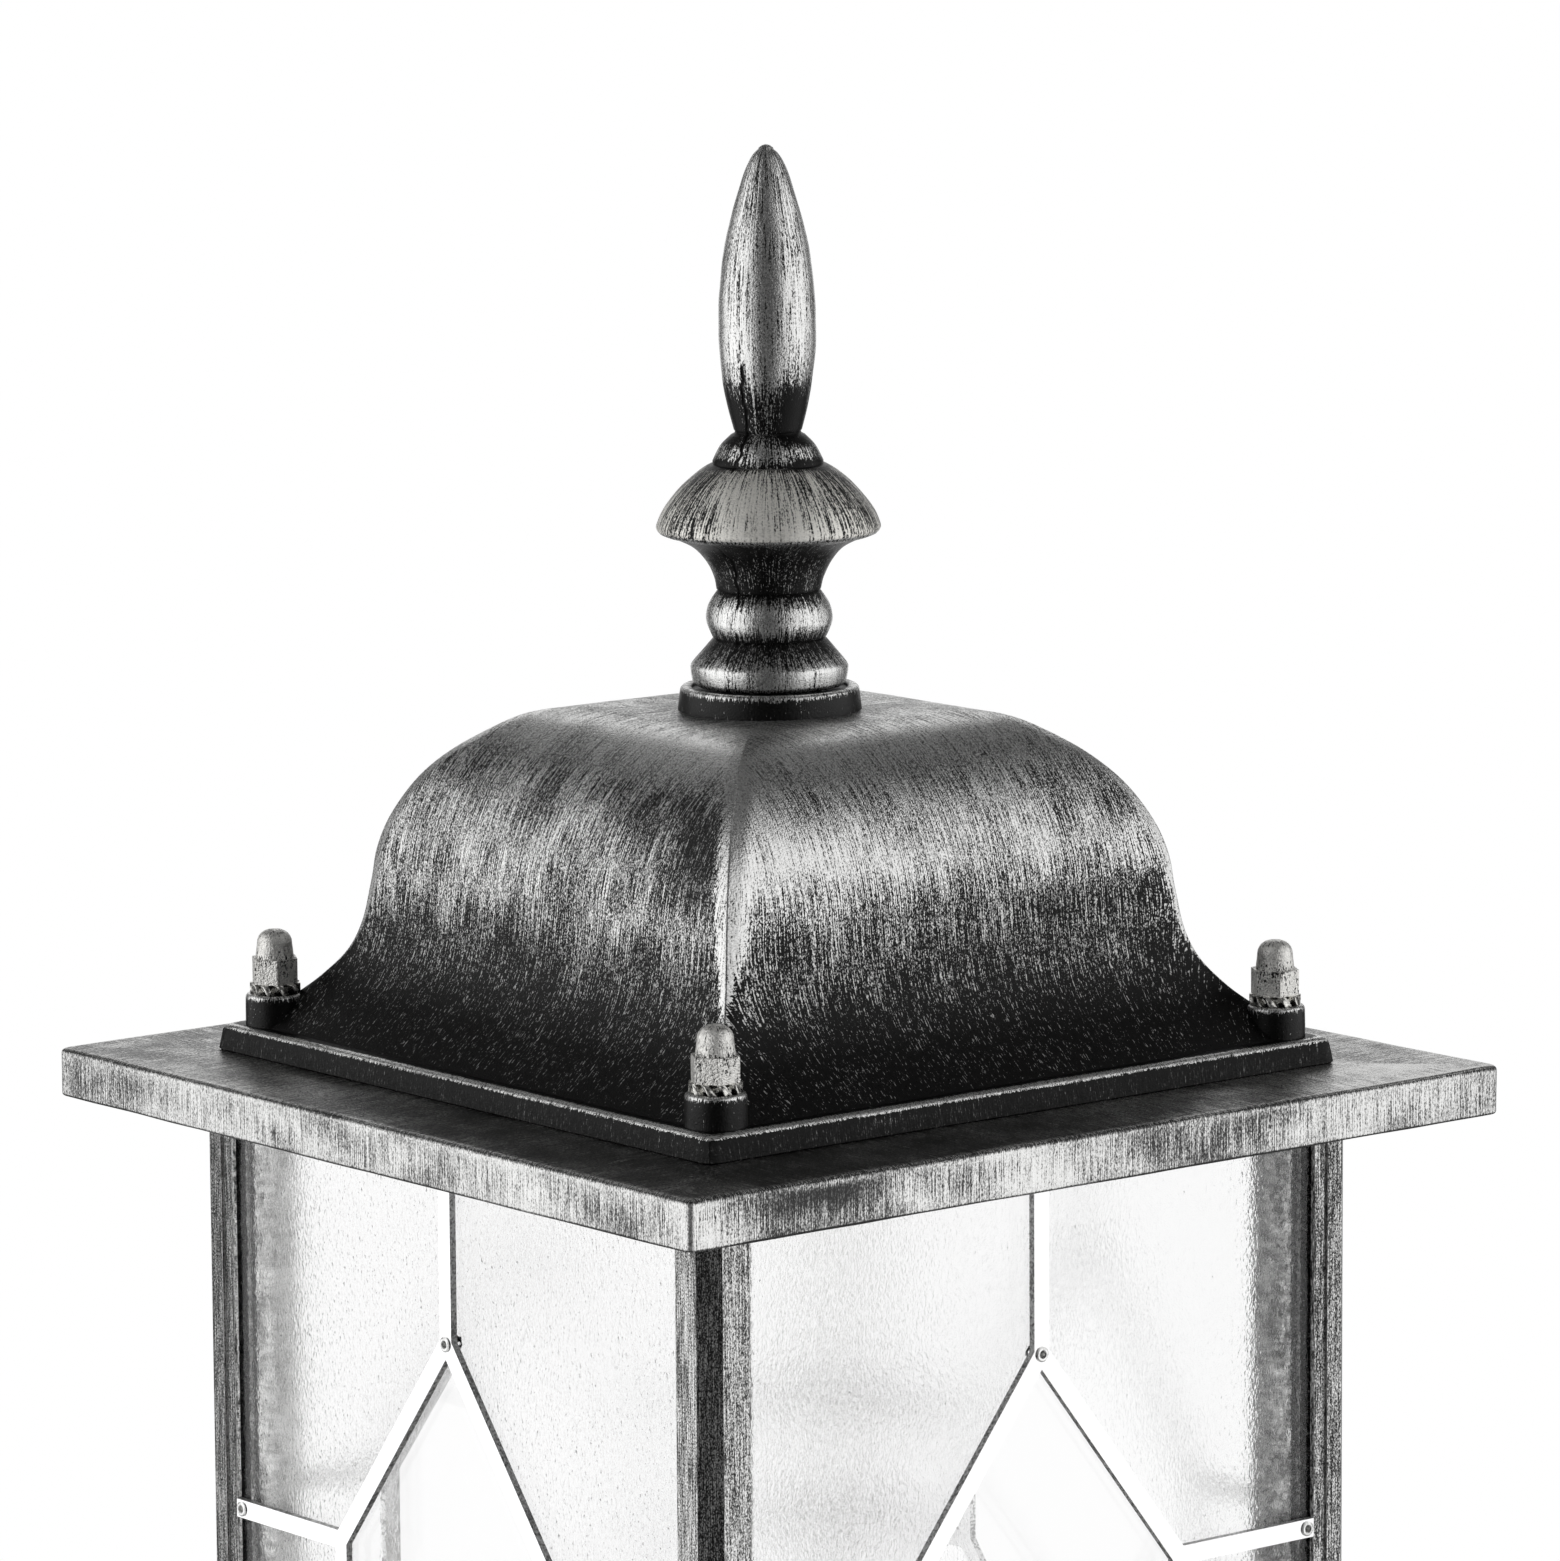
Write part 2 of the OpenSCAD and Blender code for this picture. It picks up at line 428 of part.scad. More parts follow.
finial();
finial_stud();
finial_washer();
finial_nut();
bell_roof();
roof_plate();
roof_gasket();
roof_studs();
lock_washers();
cap_nuts();
cage();
came_front();
came_right();
came_back();
came_left();
pane_front();
pane_right();
pane_back();
pane_left();
came_rivets();
base_plate();
base_screws();
nipple();
nipple_nuts();
nipple_washer();
lampholder_body();
screw_shell();
centre_contact();
arm();
arm_screws();
wall_plate();
wall_gasket();
mounting_bar();
bar_studs();
bar_washers();
bar_cap_nuts();
terminal_block();
terminal_tubes();
terminal_screws();
earth_screw();
inner_lead();
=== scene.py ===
import bpy
import bmesh
import json
import math
import numpy as np
from mathutils import Vector, Matrix, noise

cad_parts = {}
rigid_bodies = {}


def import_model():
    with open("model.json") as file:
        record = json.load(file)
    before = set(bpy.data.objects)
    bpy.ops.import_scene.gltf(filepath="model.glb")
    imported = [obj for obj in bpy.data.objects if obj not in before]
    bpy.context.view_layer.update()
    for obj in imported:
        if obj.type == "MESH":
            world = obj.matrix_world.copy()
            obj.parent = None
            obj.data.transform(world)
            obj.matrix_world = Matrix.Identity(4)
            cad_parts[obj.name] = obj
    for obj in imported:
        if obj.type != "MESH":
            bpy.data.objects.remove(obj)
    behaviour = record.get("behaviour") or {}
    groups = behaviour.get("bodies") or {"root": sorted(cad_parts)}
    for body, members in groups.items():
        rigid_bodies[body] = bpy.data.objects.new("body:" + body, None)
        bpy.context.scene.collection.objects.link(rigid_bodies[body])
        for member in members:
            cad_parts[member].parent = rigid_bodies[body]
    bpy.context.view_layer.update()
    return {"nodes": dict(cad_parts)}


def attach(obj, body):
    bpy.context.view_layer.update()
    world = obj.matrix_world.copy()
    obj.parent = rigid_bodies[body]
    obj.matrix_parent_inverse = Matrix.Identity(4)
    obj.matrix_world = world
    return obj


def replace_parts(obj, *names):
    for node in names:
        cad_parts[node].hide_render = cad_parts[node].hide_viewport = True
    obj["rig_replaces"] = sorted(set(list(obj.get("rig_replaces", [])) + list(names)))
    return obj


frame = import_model()
NODES = frame["nodes"]
MM = 0.001
HEAD = np.array([0.0, -165.0, 245.0])      # the lantern's own origin in the row frame, in mm

# ---------------------------------------------------------------- small maths


def spot(p, i, t):
    a, b, c, d = p[max(i - 1, 0)], p[i], p[i + 1], p[min(i + 2, len(p) - 1)]
    return 0.5 * (2 * b + (c - a) * t + (2 * a - 5 * b + 4 * c - d) * t * t + (3 * b - a - 3 * c + d) * t ** 3)


def curve(points, n):
    p = [np.array(q, float) for q in points]
    out = [spot(p, i, k / n) for i in range(len(p) - 1) for k in range(n)]
    return [list(q) for q in out] + [list(points[-1])]


def rounded(points, radii, seg=4, closed=False):
    """The polyline with its corners rounded. radii is one number or one for each point."""
    p = [np.array(q, float) for q in points]
    n = len(p)
    r = list(radii) if hasattr(radii, "__len__") else [radii] * n
    out = []
    for i in range(n):
        if (not closed and i in (0, n - 1)) or r[i] <= 0:
            out.append(list(p[i]))
            continue
        a, b, c = p[i - 1], p[i], p[(i + 1) % n]
        u, w = a - b, c - b
        lu, lw = np.linalg.norm(u), np.linalg.norm(w)
        u, w = u / lu, w / lw
        cosang = float(np.clip(u @ w, -1, 1))
        half = math.acos(cosang) / 2
        if half > math.pi / 2 - 0.02:
            out.append(list(b))
            continue
        t = min(r[i] / math.tan(half), 0.45 * lu, 0.45 * lw)
        rr = t * math.tan(half)
        centre = b + (u + w) / np.linalg.norm(u + w) * (rr / math.sin(half))
        p0, p1 = b + u * t, b + w * t
        a0 = math.atan2(*(p0 - centre)[::-1])
        a1 = math.atan2(*(p1 - centre)[::-1])
        d = (a1 - a0 + math.pi) % (2 * math.pi) - math.pi
        for k in range(seg + 1):
            ang = a0 + d * k / seg
            out.append([centre[0] + rr * math.cos(ang), centre[1] + rr * math.sin(ang)])
    return out


def subdivide(points, step, closed=False):
    out = []
    n = len(points)
    for i in range(n if closed else n - 1):
        a, b = np.array(points[i], float), np.array(points[(i + 1) % n], float)
        k = max(1, int(math.ceil(np.linalg.norm(b - a) / step)))
        out += [list(a + (b - a) * j / k) for j in range(k)]
    return out if closed else out + [list(points[-1])]


def probit(c):
    """Normal score of a share, so that a threshold on noise leaves that share."""
    c = np.clip(np.asarray(c, float), 0.002, 0.998)
    x = 2 * c - 1
    ln = np.log(1 - x * x)
    a = 0.147
    t = 2 / (math.pi * a) + ln / 2
    return math.sqrt(2) * np.sign(x) * np.sqrt(np.sqrt(t * t - ln / a) - t)


def smooth(a, b, x):
    t = np.clip((np.asarray(x, float) - a) / (b - a), 0, 1)
    return t * t * (3 - 2 * t)


def bump_at(x, a, b, soft):
    """1 between a and b, with soft ends."""
    return smooth(a - soft, a + soft, x) * (1 - smooth(b - soft, b + soft, x))


def table(x, pairs):
    pairs = sorted(pairs)
    return np.interp(x, [p[0] for p in pairs], [p[1] for p in pairs])


def wobble(p, scale, seed):
    """Low noise at each row of p, about -1 to 1."""
    q = np.asarray(p, float).reshape(-1, 3) / scale
    return np.array([noise.noise(Vector((a + seed * 7.3, b - seed * 3.1, c + seed * 1.7))) for a, b, c in q])


# ---------------------------------------------------------------- meshes


def build(name, verts, faces, st, wr, mat, sharp=35, offset=HEAD, mat_index=None, mats=None, seat_noise=None):
    verts = np.asarray(verts, float)
    me = bpy.data.meshes.new(name)
    me.from_pydata(((verts + offset) * MM).tolist(), [], [tuple(int(i) for i in f) for f in faces])
    for m in (mats or [mat]):
        me.materials.append(m)
    put(me, "st", st)
    put(me, "wr", wr)
    if mat_index is not None:
        me.polygons.foreach_set("material_index", np.asarray(mat_index, np.int32))
    me.shade_smooth()
    me.set_sharp_from_angle(angle=math.radians(sharp))
    me.update()
    o = bpy.data.objects.new(name, me)
    bpy.context.scene.collection.objects.link(o)
    return o


def put(me, name, values):
    if values is None:
        return
    at = me.attributes.new(name, "FLOAT_VECTOR", "CORNER")
    at.data.foreach_set("vector", np.asarray(values, np.float32).ravel())


def volume6(v, quads):
    a, b, c, d = (v[quads[:, k]] for k in range(4))
    return float(np.einsum("ij,ij->i", a, np.cross(b, c)).sum() + np.einsum("ij,ij->i", a, np.cross(c, d)).sum())


def half_corner(r, mc, facet):
    """From where the side ends to the diagonal: distance from the corner along and inward, and the length run."""
    if not facet:
        a = np.linspace(0, math.pi / 4, mc + 1)
        return r - r * np.sin(a), r - r * np.cos(a), r * a
    t15 = math.radians(15)
    fine = min(0.5, 0.2 * r)
    run = r / (math.cos(t15) + math.sin(t15)) - fine * math.tan(math.radians(30))
    t = np.linspace(0, run, mc - 2)
    a = np.radians(np.array([10, 20, 30.0])) + t15
    ox = r - run * math.cos(t15) + fine * math.sin(t15)
    oy = run * math.sin(t15) + fine * math.cos(t15)
    dx = np.concatenate([r - t * math.cos(t15), ox - fine * np.sin(a)])
    dy = np.concatenate([t * math.sin(t15), oy - fine * np.cos(a)])
    du = np.concatenate([t, run + fine * (a - t15)])
    return dx, dy, du


def ring_xy(sx, sy, r, ms, mc, facet=False):
    """One rounded rectangle ring. Returns its points, and for each of four sides the lateral coordinate."""
    pts, us = [], []
    dx, dy, du = half_corner(r, mc, facet)
    for k in range(4):
        h, w = (sy, sx) if k % 2 == 0 else (sx, sy)      # distance out, half width along
        t = np.linspace(-(w - r), w - r, ms + 1)
        x = np.concatenate([-w + dx[::-1][:-1], t, w - dx[1:]])
        y = np.concatenate([-h + dy[::-1][:-1], np.full(ms + 1, -h), -h + dy[1:]])
        u = np.concatenate([-(w - r) - du[::-1][:-1], t, (w - r) + du[1:]])
        ca, sa = [(1, 0), (0, 1), (-1, 0), (0, -1)][k]
        pts.append(np.stack([x * ca - y * sa, x * sa + y * ca], 1)[:-1])
        us.append(u)
    return np.concatenate(pts), np.array(us)


def loft(name, prof, rad, mat, wear, ms=56, mc=4, closed=True, aspect=None, rough=(0, 8, 1), sharp=35,
         axis="z", offset=HEAD, facet=False, warp=None):
    """Rounded-square rings along a profile of (s, z), closed to a solid. wear(k, u, s, z, v) gives (share, softness,
    tint): silver wear, and on the bell also painted light and shade.
    """
    prof = np.asarray(prof, float)
    n = len(prof)
    rad = np.broadcast_to(np.asarray(rad, float), (n,))
    dx, dy = aspect or (0.0, 0.0)
    rings, us = [], []
    for (s, z), r in zip(prof, rad):
        xy, u = ring_xy(s + dx, s + dy, min(r, s * 0.98), ms, mc, facet)
        rings.append(np.column_stack([xy, np.full(len(xy), z)]))
        us.append(u)
    U = np.array(us)                                       # n, 4, m + 1
    m = U.shape[2] - 1
    N = 4 * m
    V = np.concatenate([[0], np.cumsum(np.linalg.norm(np.diff(prof, axis=0), axis=1))])
    verts = np.concatenate(rings)
    if rough[0]:
        w = wobble(verts, rough[1], rough[2]) * rough[0]
        c = verts.reshape(n, N, 3)
        du = np.roll(c, -1, 1) - np.roll(c, 1, 1)
        dv = np.roll(c, -1, 0) - np.roll(c, 1, 0)
        nn = np.cross(du, dv).reshape(-1, 3)
        nn /= np.linalg.norm(nn, axis=1)[:, None] + 1e-9
        verts = verts + nn * w[:, None]
    last = n if closed else n - 1
    faces, st, wr = [], [], []
    s_all, z_all = prof[:, 0], prof[:, 1]
    W = np.zeros((4, n, m + 1, 3))
    for k in range(4):
        out = wear(k, U[:, k, :], s_all[:, None] + 0 * U[:, k, :], z_all[:, None] + 0 * U[:, k, :], V[:, None] + 0 * U[:, k, :])
        for q in range(3):
            W[k, :, :, q] = out[q]
    W[..., 0] = probit(W[..., 0])
    if warp is not None:
        U = U + np.stack([warp(k, U[:, k, :], s_all[:, None], z_all[:, None]) for k in range(4)], 1)
    for i in range(last):
        i2 = (i + 1) % n
        v1 = V[i + 1] if i + 1 < n else V[-1] + np.linalg.norm(prof[0] - prof[-1])
        for k in range(4):
            j = np.arange(m)
            a, b = i * N + k * m + j, i * N + (k * m + j + 1) % N
            c, d = i2 * N + (k * m + j + 1) % N, i2 * N + k * m + j
            faces.append(np.stack([a, b, c, d], 1))
            u0, u1 = U[i, k], U[i2, k]
            q = np.empty((m, 4, 3))
            q[:, 0] = np.stack([u0[:-1], np.full(m, 100.0 * k), np.full(m, V[i])], 1)
            q[:, 1] = np.stack([u0[1:], np.full(m, 100.0 * k), np.full(m, V[i])], 1)
            q[:, 2] = np.stack([u1[1:], np.full(m, 100.0 * k), np.full(m, v1)], 1)
            q[:, 3] = np.stack([u1[:-1], np.full(m, 100.0 * k), np.full(m, v1)], 1)
            st.append(q)
            w = np.stack([W[k, i, :-1], W[k, i, 1:], W[k, i2, 1:], W[k, i2, :-1]], 1)
            wr.append(w)
    faces, st, wr = np.concatenate(faces), np.concatenate(st), np.concatenate(wr)
    if volume6(verts, faces) < 0:
        faces, st, wr = faces[:, ::-1], st[:, ::-1], wr[:, ::-1]
    if axis == "-y":                                       # the profile's z runs out from the wall
        verts = np.column_stack([verts[:, 0], -verts[:, 2], verts[:, 1]])
    return build(name, verts, faces, st, wr, mat, sharp, offset)


def lathe_data(prof, wear, thetas, ref, groove=None, rough=(0, 8, 1), seed=0.0):
    """A turned solid from (r, z) points, both ends on the axis or closed to a ring."""
    prof = np.asarray(prof, float)
    n = len(prof)
    T = len(thetas)
    V = np.concatenate([[0], np.cumsum(np.linalg.norm(np.diff(prof, axis=0), axis=1))])
    ct, sn = np.cos(thetas), np.sin(thetas)
    open_ends = prof[0, 0] < 1e-6 and prof[-1, 0] < 1e-6
    R = prof[:, 0][:, None] + np.zeros((n, T))
    if groove is not None:
        R = R - groove(prof[:, 1][:, None] + 0 * R, thetas[None, :] + 0 * R, prof[:, 0][:, None] + 0 * R)
    verts = np.stack([R * ct, R * sn, prof[:, 1][:, None] + 0 * R], 2)
    if rough[0]:
        w = wobble(verts, rough[1], rough[2]).reshape(n, T) * rough[0] * np.minimum(1, prof[:, 0][:, None] / 3)
        verts[..., 0] += w * ct
        verts[..., 1] += w * sn
    refs = np.broadcast_to(np.asarray(ref, float), (n,))
    ST = np.stack([refs[:, None] * ct, refs[:, None] * sn, V[:, None] + 0 * R + seed], 2)
    z_all = prof[:, 1][:, None] + 0 * R
    W = np.stack([np.broadcast_to(x, (n, T)) for x in wear(thetas[None, :] + 0 * R, R, z_all, V[:, None] + 0 * R)], 2)
    W = W.copy()
    W[..., 0] = probit(W[..., 0])
    out_v, faces, st, wr = [], [], [], []
    idx = np.zeros((n, T), int)
    count = 0
    for i in range(n):
        if open_ends and i in (0, n - 1):
            out_v.append(np.array([[0, 0, prof[i, 1]]]))
            idx[i] = count
            count += 1
        else:
            out_v.append(verts[i])
            idx[i] = count + np.arange(T)
            count += T
    verts = np.concatenate(out_v)
    for i in range(n - 1 if open_ends else n):
        i2 = (i + 1) % n
        for j in range(T):
            j2 = (j + 1) % T
            f = [(i, j), (i, j2), (i2, j2), (i2, j)]
            if open_ends and i == 0:
                f = [(i, j), (i2, j2), (i2, j)]
            elif open_ends and i == n - 2:
                f = [(i, j), (i, j2), (i2, j)]
            faces.append([idx[q] for q in f])
            st.append([ST[q] for q in f])
            wr.append([W[q] for q in f])
    return verts, faces, st, wr


def solid_sign(verts, faces):
    v = np.asarray(verts)
    s = 0.0
    for f in faces:
        for k in range(1, len(f) - 1):
            s += float(v[f[0]] @ np.cross(v[f[k]], v[f[k + 1]]))
    return s


def join(parts):
    """Several (verts, faces, st, wr) as one, each turned outwards."""
    V, F, S, W = [], [], [], []
    base = 0
    for v, f, s, w in parts:
        if solid_sign(np.asarray(v) - np.mean(v, 0), f) < 0:
            f = [q[::-1] for q in f]
            s = [q[::-1] for q in s]
            w = [q[::-1] for q in w]
        V.append(np.asarray(v, float))
        F += [[int(i) + base for i in q] for q in f]
        S += [np.asarray(x) for q in s for x in q]
        W += [np.asarray(x) for q in w for x in q]
        base += len(v)
    return np.concatenate(V), F, np.array(S), np.array(W)


def circle(n, extra=()):
    t = list(np.linspace(-math.pi, math.pi, n, endpoint=False))
    for e in extra:
        t.append((e + math.pi) % (2 * math.pi) - math.pi)
    return np.array(sorted(set(round(x, 6) for x in t)))


def soften(node, name, width, seg=2, angle=25, paint=None, mat=None, mats=None, pick=None, weighted=True, lift=None):
    """A copy of a CAD node's shape with its edges eased, painted with the wear attributes (on the cage these also carry
    painted light), standing for the node.
    """
    src = NODES[node]
    bm = bmesh.new()
    bm.from_mesh(src.data)
    bmesh.ops.remove_doubles(bm, verts=bm.verts, dist=2e-6)
    bmesh.ops.dissolve_limit(bm, angle_limit=math.radians(0.3), verts=bm.verts, edges=bm.edges)
    if width > 0:
        edges = [e for e in bm.edges if e.calc_face_angle(0) > math.radians(angle)]
        bmesh.ops.bevel(bm, geom=edges, offset=width * MM, segments=seg, profile=0.5, affect="EDGES", clamp_overlap=True)
    bmesh.ops.recalc_face_normals(bm, faces=bm.faces)
    if lift is not None:
        lift(bm)
    me = bpy.data.meshes.new(name)
    bm.to_mesh(me)
    bm.free()
    me.materials.clear()
    for m in (mats or [mat]):
        me.materials.append(m)
    for a in [a.name for a in me.attributes if a.name in ("st", "wr")]:
        me.attributes.remove(me.attributes[a])
    nl, npoly = len(me.loops), len(me.polygons)
    co = np.zeros(len(me.vertices) * 3)
    me.vertices.foreach_get("co", co)
    co = co.reshape(-1, 3) / MM
    li = np.zeros(nl, np.int32)
    me.loops.foreach_get("vertex_index", li)
    no = np.zeros(npoly * 3)
    me.polygons.foreach_get("normal", no)
    no = no.reshape(-1, 3)
    tot = np.zeros(npoly, np.int32)
    me.polygons.foreach_get("loop_total", tot)
    fn = np.repeat(no, tot, 0)
    P = co[li] - HEAD
    tang = np.stack([-fn[:, 1], fn[:, 0], np.zeros(nl)], 1)
    ln = np.linalg.norm(tang, axis=1)
    flat = ln < 0.35
    tang[~flat] /= ln[~flat][:, None]
    tang[flat] = [1, 0, 0]
    across = np.einsum("ij,ij->i", P, tang)
    key = np.round(np.degrees(np.arctan2(fn[:, 1], fn[:, 0])) / 45.0) * 37.0
    st = np.stack([across, np.where(flat, 500.0, key), np.where(flat, P[:, 1], P[:, 2])], 1)
    out = paint(P, fn)
    wr = np.stack([probit(np.broadcast_to(out[0], (nl,))), np.broadcast_to(out[1], (nl,)), np.broadcast_to(out[2], (nl,))], 1)
    put(me, "st", st)
    put(me, "wr", wr)
    if pick is not None:
        start = np.concatenate([[0], np.cumsum(tot)[:-1]])
        mid = np.add.reduceat(co[li], start, axis=0) / tot[:, None] - HEAD
        me.polygons.foreach_set("material_index", np.asarray(pick(mid, no), np.int32))
    me.shade_smooth()
    me.set_sharp_from_angle(angle=math.radians(50))
    o = bpy.data.objects.new(name, me)
    bpy.context.scene.collection.objects.link(o)
    if weighted:
        w = o.modifiers.new("weighted", "WEIGHTED_NORMAL")
        w.keep_sharp = True
        w.weight = 100
    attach(o, "root")
    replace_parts(o, node)
    return o


# ---------------------------------------------------------------- node helpers


def node(nt, kind, inputs=None, **props):
    n = nt.nodes.new(kind)
    for k, v in props.items():
        setattr(n, k, v)
    for k, v in (inputs or {}).items():
        s = n.inputs[k]
        if isinstance(v, bpy.types.NodeSocket):
            nt.links.new(v, s)
        else:
            s.default_value = v
    return n


def calc(nt, op, a, b=None, c=None, clamp=False):
    n = nt.nodes.new("ShaderNodeMath")
    n.operation = op
    n.use_clamp = clamp
    for s, v in zip(n.inputs, (a, b, c)):
        if v is None:
            continue
        if isinstance(v, bpy.types.NodeSocket):
            nt.links.new(v, s)
        else:
            s.default_value = v
    return n.outputs[0]


def vec(nt, op, a, b):
    n = nt.nodes.new("ShaderNodeVectorMath")
    n.operation = op
    for s, v in zip(n.inputs, (a, b)):
        if isinstance(v, bpy.types.NodeSocket):
            nt.links.new(v, s)
        else:
            s.default_value = v
    return n.outputs["Value"] if op in ("DOT_PRODUCT", "LENGTH", "DISTANCE") else n.outputs["Vector"]


def ramp(nt, value, a, b, lo=0.0, hi=1.0, kind="SMOOTHSTEP"):
    n = node(nt, "ShaderNodeMapRange", {"Value": value, "From Min": a, "From Max": b, "To Min": lo, "To Max": hi}, interpolation_type=kind)
    return n.outputs[0]


def mix_colour(nt, fac, a, b):
    n = node(nt, "ShaderNodeMix", data_type="RGBA")
    for s, v in ((n.inputs[0], fac), (n.inputs[6], a), (n.inputs[7], b)):
        if isinstance(v, bpy.types.NodeSocket):
            nt.links.new(v, s)
        else:
            s.default_value = v
    return n.outputs[2]


def rgb(v, g=None, b=None):
    return (v, v if g is None else g, v if b is None else b, 1.0)


def raw_noise(nt, vector, detail=1.5, roughness=0.55, distortion=0.0):
    n = node(nt, "ShaderNodeTexNoise", {"Vector": vector, "Scale": 1.0, "Detail": detail, "Roughness": roughness, "Distortion": distortion},
             noise_dimensions="3D")
    n.normalize = False
    return n.outputs[0]


def fresh(name):
    mat = bpy.data.materials.new(name)
    mat.use_nodes = True
    nt = mat.node_tree
    nt.nodes.clear()
    out = nt.nodes.new("ShaderNodeOutputMaterial")
    bsdf = nt.nodes.new("ShaderNodeBsdfPrincipled")
    nt.links.new(bsdf.outputs[0], out.inputs["Surface"])
    return mat, nt, bsdf


# ---------------------------------------------------------------- materials


def patina(name, seed, silver=0.86, black=0.003, thin=0.45, fleck=(6.2, 1.0), streak=(4.4, 0.22), patch=(0.12, 0.07),
           weights=(0.76, 0.50, 0.22), soft=0.75, rough_s=0.30, rough_b=0.36, bump=0.25, tint=(1.0, 1.0, 1.0), spec=0.13, dash=None):
    """Black coat brushed with silver. st is (across, across, along) in mm, wr is (normal score of the silver share,
    softness, grime); grime below zero brightens the silver past clean, as a painted highlight.
    """
    mat, nt, bsdf = fresh(name)
    st = node(nt, "ShaderNodeAttribute", attribute_type="GEOMETRY", attribute_name="st").outputs["Vector"]
    wr = node(nt, "ShaderNodeSeparateXYZ", {0: node(nt, "ShaderNodeAttribute", attribute_type="GEOMETRY", attribute_name="wr").outputs["Vector"]})
    st = vec(nt, "ADD", st, (seed * 13.7, seed * 5.1, seed * 29.3))
    f = raw_noise(nt, vec(nt, "MULTIPLY", st, (fleck[0], fleck[0], fleck[1])), 1.5, 0.6)
    s = raw_noise(nt, vec(nt, "MULTIPLY", st, (streak[0], streak[0], streak[1])), 2.0, 0.6)
    p = raw_noise(nt, vec(nt, "MULTIPLY", st, (patch[0], patch[0], patch[1])), 2.0, 0.5)
    g = raw_noise(nt, vec(nt, "MULTIPLY", st, (3.2, 3.2, 3.2)), 1.0, 0.5)
    k = 1 / 0.27
    if dash:                                               # sparse silver comes as short dashes, not as grain
        d = raw_noise(nt, vec(nt, "MULTIPLY", st, (dash[0], dash[0], dash[1])), 1.0, 0.5)
        f = calc(nt, "MULTIPLY", f, ramp(nt, wr.outputs[0], -1.9, -0.2, 0.45, 1.0))
        f = calc(nt, "MULTIPLY_ADD", d, ramp(nt, wr.outputs[0], -1.9, -0.2, 0.9, 0.0), f)
    x = calc(nt, "MULTIPLY", f, weights[0] * k)
    x = calc(nt, "MULTIPLY_ADD", calc(nt, "MULTIPLY", s, ramp(nt, wr.outputs[0], -1.9, -0.2, 0.6, 1.0)), weights[1] * k, x)
    x = calc(nt, "MULTIPLY_ADD", calc(nt, "MULTIPLY", p, ramp(nt, wr.outputs[0], -1.9, -0.2, 0.4, 1.0)), weights[2] * k, x)
    x = calc(nt, "MULTIPLY_ADD", g, 0.25 * k, x)
    x = calc(nt, "ADD", x, wr.outputs[0])
    width = calc(nt, "MULTIPLY_ADD", wr.outputs[1], soft, 0.12)
    x = calc(nt, "DIVIDE", x, width)
    mask = ramp(nt, x, -1.0, 1.0)
    film = ramp(nt, x, -2.6, 2.2, 0.0, 1.0)
    mask = calc(nt, "MULTIPLY_ADD", film, 0.18, calc(nt, "MULTIPLY", mask, 0.82), clamp=True)
    mask = calc(nt, "MULTIPLY", mask, ramp(nt, wr.outputs[0], -2.0, -0.3, thin, 1.0))
    # one less grime; where grime is below zero this is a painted highlight
    clean_and_lit = calc(nt, "SUBTRACT", 1.0, wr.outputs[2])
    shade = calc(nt, "MULTIPLY_ADD", g, 0.35, clean_and_lit)
    shade = calc(nt, "MULTIPLY_ADD", s, 0.30, shade, clamp=True)
    sil = mix_colour(nt, shade, rgb(0.30 * silver * tint[0], 0.295 * silver * tint[1], 0.28 * silver * tint[2]),
                     rgb(silver * tint[0], silver * tint[1], silver * 0.99 * tint[2]))
    blk = mix_colour(nt, ramp(nt, g, -0.4, 0.4), rgb(black * 0.7), rgb(black * 1.4, black * 1.38, black * 1.3))
    nt.links.new(mix_colour(nt, mask, blk, sil), bsdf.inputs["Base Color"])
    nt.links.new(calc(nt, "MULTIPLY", mask, 0.96), bsdf.inputs["Metallic"])
    bsdf.inputs["Specular IOR Level"].default_value = spec
    r = calc(nt, "MULTIPLY_ADD", mask, rough_s - rough_b, rough_b)
    r = calc(nt, "MULTIPLY_ADD", g, 0.12, r, clamp=True)
    nt.links.new(r, bsdf.inputs["Roughness"])
    h = calc(nt, "MULTIPLY_ADD", g, 0.9, calc(nt, "MULTIPLY", mask, 0.55))
    b = node(nt, "ShaderNodeBump", {"Strength": bump, "Distance": 0.00012, "Height": h})
    nt.links.new(b.outputs[0], bsdf.inputs["Normal"])
    return mat


def _scaled(nt, v, k):
    return vec(nt, "MULTIPLY", v, (k, k, k))


